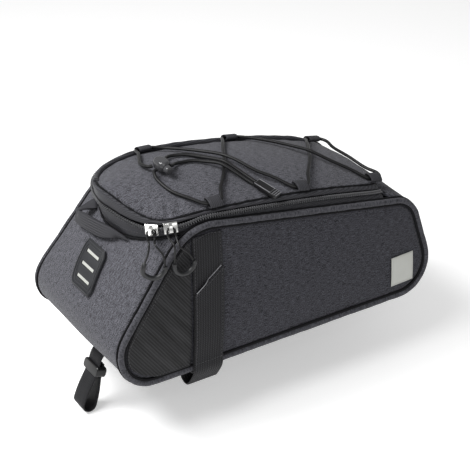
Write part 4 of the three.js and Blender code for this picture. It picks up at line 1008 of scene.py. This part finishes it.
class RACKBAG_OT_fittings(bpy.types.Operator):
    """Make the cord lock with its button, both painted lighter as a painted highlight, the moulded cord end
    with its rim and ridges in a painted highlight colour, and the rear buckle
    """
    bl_idname = "rackbag.fittings"
    bl_label = "Fittings"

    def execute(self, context):
        # The lock and its button take the lightened glossy nylon, a painted highlight
        for name, node, crease, finish in (("cord_lock_moulding", "cord_lock", 0.25, "glossy nylon painted highlight"),
                                           ("lock_button_moulding", "cord_lock_button", 0.45, "glossy nylon painted highlight"),
                                           ("cord_end_moulding", "cord_end", 0.4, "moulded nylon")):
            piece(name, sewn_skin(node, crease=crease), finish, "black_plastic", node)
        block = points_of(NODES["cord_end"].data)
        middle = (block.min(axis=0) + block.max(axis=0)) / 2
        axes = np.linalg.svd(block - block.mean(axis=0), full_matrices=False)[2]
        along, across, up = axes[0] * -np.sign(axes[0][1]), axes[1], axes[2] * np.sign(axes[2][2])

        def on_top(a, b):
            return Vector(middle + along * a + across * b + up * 2.1)
        # The rim and the three ridges are thin tubes in the light nylon edge colour, a painted highlight along
        # the cord end's edges
        rim = [on_top(a, b) for a, b in ((-11.6, -4.3), (5.5, -4.3), (5.5, 4.3), (-11.6, 4.3))]
        edges = [sweep(rim, 0.7, 8, closed=True)]
        edges += [sweep([on_top(a, -4.4), on_top(a, 4.4)], 0.8, 8) for a in (7.8, 9.9, 11.8)]
        piece("cord_end_edges", joined(edges), "nylon edge painted highlight", "black_plastic")
        mesh = moulded_skin("rear_buckle", 0.5)
        piece("buckle_moulding", mesh, "moulded nylon", "black_plastic", "rear_buckle")
        return {"FINISHED"}


class RACKBAG_OT_patch_and_label(bpy.types.Operator):
    """Make the light patch with its raised borders and strips, and the bare label with its rim"""
    bl_idname = "rackbag.patch_and_label"
    bl_label = "Light patch and label"

    def execute(self, context):
        mesh = moulded_skin("light_patch", 0.35)
        piece("patch_rubber", mesh, "moulded soft rubber", "grey_rubber", "light_patch", sharp=60)
        slope = Vector((REAR_RAKE, 0, 1)).normalized()
        out = Vector((-1, 0, REAR_RAKE)).normalized()
        solid = points_of(NODES["light_patch"].data)
        rim = outer_hull([(p.y, p.dot(slope)) for p in (Vector(q) for q in solid)])
        middle = Vector((sum(p[0] for p in rim) / len(rim), sum(p[1] for p in rim) / len(rim)))
        base = Vector(solid.mean(axis=0))
        patch = surface_of("patch_rubber")
        borders = []
        for share, width in ((0.93, 1.3), (0.8, 0.9)):
            loop = []
            for a, b in rim:
                a, b = middle + (Vector((a, b)) - middle) * share
                loop.append(Vector((0, a, 0)) + slope * b + out * base.dot(out))
            laid_loop = laid(patch, smooth_route(loop, 1.5, closed=True), -out, 0.1)
            borders.append(sweep(laid_loop, width, 8, closed=True, facing=tuple(out)))
        piece("patch_borders", joined(borders), "moulded soft rubber", "grey_rubber")
        for k in (1, 2, 3):
            node = f"patch_strip_{k}"
            piece(f"strip_{k}_film", moulded_skin(node, 0.15), "reflective film", "reflective_film", node)
        piece("label_film", moulded_skin("side_label", 0.2), "reflective film", "reflective_film", "side_label")
        label = surface_of("label_film")
        low, high = (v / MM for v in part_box("side_label"))
        rear, front, under, over = low.x + 1, high.x - 1, low.z + 1, high.z - 1
        corners = [Vector((x, -THROW_FROM, z))
                   for x, z in ((rear, under), (front, under), (front, over), (rear, over))]
        loop = [a.lerp(b, k / 8) for a, b in zip(corners, corners[1:] + corners[:1]) for k in range(8)]
        rim = sweep(laid(label, loop, Y, 0.05), 0.7, 8, closed=True, facing=(0, -1, 0))
        piece("label_rim", rim, "reflective film", "reflective_film")
        return {"FINISHED"}


def outer_hull(points):
    """Convex hull of flat points, in order round it"""
    points = sorted(set(points))

    def half(row):
        chain = []
        for p in row:
            while len(chain) > 1 and ((chain[-1][0] - chain[-2][0]) * (p[1] - chain[-2][1])
                                      - (chain[-1][1] - chain[-2][1]) * (p[0] - chain[-2][0])) <= 0:
                chain.pop()
            chain.append(p)
        return chain[:-1]
    return half(points) + half(points[::-1])


class RACKBAG_OT_stitches(bpy.types.Operator):
    """Sew the stitch rows on the band, sides and side straps, and lay a thin roll with a painted highlight
    along each side strap's hem
    """
    bl_idname = "rackbag.stitches"
    bl_label = "Stitches"

    def execute(self, context):
        band = surface_of("zip_tape_upper_cloth", "zip_tape_lower_cloth")
        rows = []
        for share in (0.22, 1.62):
            row = []
            for p in smooth_route(band_row(share), 2.5):
                place, normal, _, _ = band.find_nearest(p)
                row.append(place + normal * 0.12)
            rows.append(row)
        stitched("band_stitches", rows)
        for word, side in SIDES:
            tree = surface_of(f"side_cloth_{word}", f"guard_cloth_{word}", f"side_webbing_{word}")
            inward = (0, -side, 0)
            away = side * THROW_FROM
            loop = [(p.x, away, p.z) for p in round_side(side, PIPING + 3.2, 0)]
            rows = [laid(tree, loop, inward, 0.1)]
            for share in (0.07, 0.93):
                edge = [(STRAP_REAR + STRAP_WIDTH * share - STRAP_SLANT * (REAR_TOP / 2 - z), away, z)
                        for z in np.linspace(*STRAP_STITCHED, 46)]
                rows.append(laid(tree, edge, inward, 0.1))
            hem = [(HEM_REAR + STRAP_WIDTH * k / 24, away, z)
                   for k, z in enumerate(np.linspace(*HEM_HEIGHTS, 25))][1:-1]
            rows.append(laid(tree, [(x, y, z - 2.4) for x, y, z in hem], inward, 0.1))
            # A thin roll along the hem, coloured light as a painted highlight on the hem's edge
            route = laid(tree, hem, inward, 0.2)
            route = [route[0].lerp(route[-1], k / 8) for k in range(9)]
            edge = sweep(laid(tree, [(p.x, away, p.z) for p in route], inward, 0.2), 0.9, 8)
            cloth_map(edge, X, Z)
            piece(f"strap_hem_{word}", edge, "nylon edge painted highlight", "webbing")
            stitched(f"side_stitches_{word}", rows, X)
        return {"FINISHED"}


class RACKBAG_OT_stage(bpy.types.Operator):
    """Set the pale floor, the studio light and the camera"""
    bl_idname = "rackbag.stage"
    bl_label = "Stage"

    def execute(self, context):
        scene = context.scene
        scene.view_settings.view_transform = "Standard"
        floor_mesh = bpy.data.meshes.new("floor")
        low = CAD_BOX[0][2] - FLOOR_DROP
        floor_mesh.from_pydata([(-6, -6, low), (6, -6, low), (6, 6, low), (-6, 6, low)], [], [(0, 1, 2, 3)])
        floor = bpy.data.objects.new("floor", floor_mesh)
        scene.collection.objects.link(floor)
        blank("pale floor", **{"Base Color": (*linear("#f4f4f4"), 1), "Roughness": 0.9,
                               "Emission Color": (1, 1, 1, 1), "Emission Strength": 0.35})
        floor_mesh.materials.append(bpy.data.materials["pale floor"])
        world = bpy.data.worlds.new("studio")
        world.use_nodes = True
        sky = world.node_tree.nodes["Background"].inputs
        sky["Color"].default_value = (1, 1, 1, 1)
        sky["Strength"].default_value = 0.37
        scene.world = world
        for name, place, power, size in LAMPS:
            lamp = bpy.data.lights.new(name, "AREA")
            lamp.energy = power
            lamp.size = size
            held = bpy.data.objects.new(name, lamp)
            held.location = place
            held.rotation_euler = (Vector((0, 0, 0.07)) - Vector(place)).to_track_quat("-Z", "Y").to_euler()
            scene.collection.objects.link(held)
        azimuth, tilt, roll = (math.radians(a) for a in CAMERA_ANGLES)
        back = Vector((math.sin(azimuth) * math.cos(tilt), -math.cos(azimuth) * math.cos(tilt), math.sin(tilt)))
        right = Vector((math.cos(azimuth), math.sin(azimuth), 0))
        up = back.cross(right)
        right, up = right * math.cos(roll) + up * math.sin(roll), up * math.cos(roll) - right * math.sin(roll)
        lens = bpy.data.cameras.new("camera")
        lens.sensor_width = 36
        lens.lens = lens.sensor_width * CAMERA_LENS / PHOTO_WIDTH
        lens.clip_start, lens.clip_end = 0.05, 50
        camera = bpy.data.objects.new("camera", lens)
        turn = Matrix((right, up, back)).transposed().to_4x4()
        camera.matrix_world = Matrix.Translation(Vector(CAMERA_PLACE) * MM) @ turn
        scene.collection.objects.link(camera)
        scene.camera = camera
        return {"FINISHED"}


STEPS = (
    RACKBAG_OT_stage, RACKBAG_OT_finishes, RACKBAG_OT_panels, RACKBAG_OT_base, RACKBAG_OT_guards,
    RACKBAG_OT_piping, RACKBAG_OT_zip, RACKBAG_OT_sliders, RACKBAG_OT_webbing, RACKBAG_OT_fittings,
    RACKBAG_OT_cords, RACKBAG_OT_patch_and_label, RACKBAG_OT_stitches,
)


class RACKBAG_PT_sidebar(bpy.types.Panel):
    """Lists the steps that dress the bag"""
    bl_idname = "RACKBAG_PT_sidebar"
    bl_label = "Rack bag"
    bl_space_type = "VIEW_3D"
    bl_region_type = "UI"
    bl_category = "Rack Bag"

    def draw(self, context):
        for group in (context.scene.rackbag_sizes, context.scene.rackbag_colours):
            for name in group.bl_rna.properties.keys():
                if name not in ("rna_type", "name"):
                    self.layout.prop(group, name)
        for step in STEPS:
            self.layout.operator(step.bl_idname)


CLASSES = (RACKBAG_sizes, RACKBAG_colours, *STEPS, RACKBAG_PT_sidebar)


def register():
    for made in CLASSES:
        bpy.utils.register_class(made)
    bpy.types.Scene.rackbag_sizes = bpy.props.PointerProperty(type=RACKBAG_sizes)
    bpy.types.Scene.rackbag_colours = bpy.props.PointerProperty(type=RACKBAG_colours)


def unregister():
    del bpy.types.Scene.rackbag_colours
    del bpy.types.Scene.rackbag_sizes
    for made in reversed(CLASSES):
        bpy.utils.unregister_class(made)


def main():
    register()
    for step in STEPS:
        group, name = step.bl_idname.split(".")
        getattr(getattr(bpy.ops, group), name)()


if __name__ == "__main__":
    main()
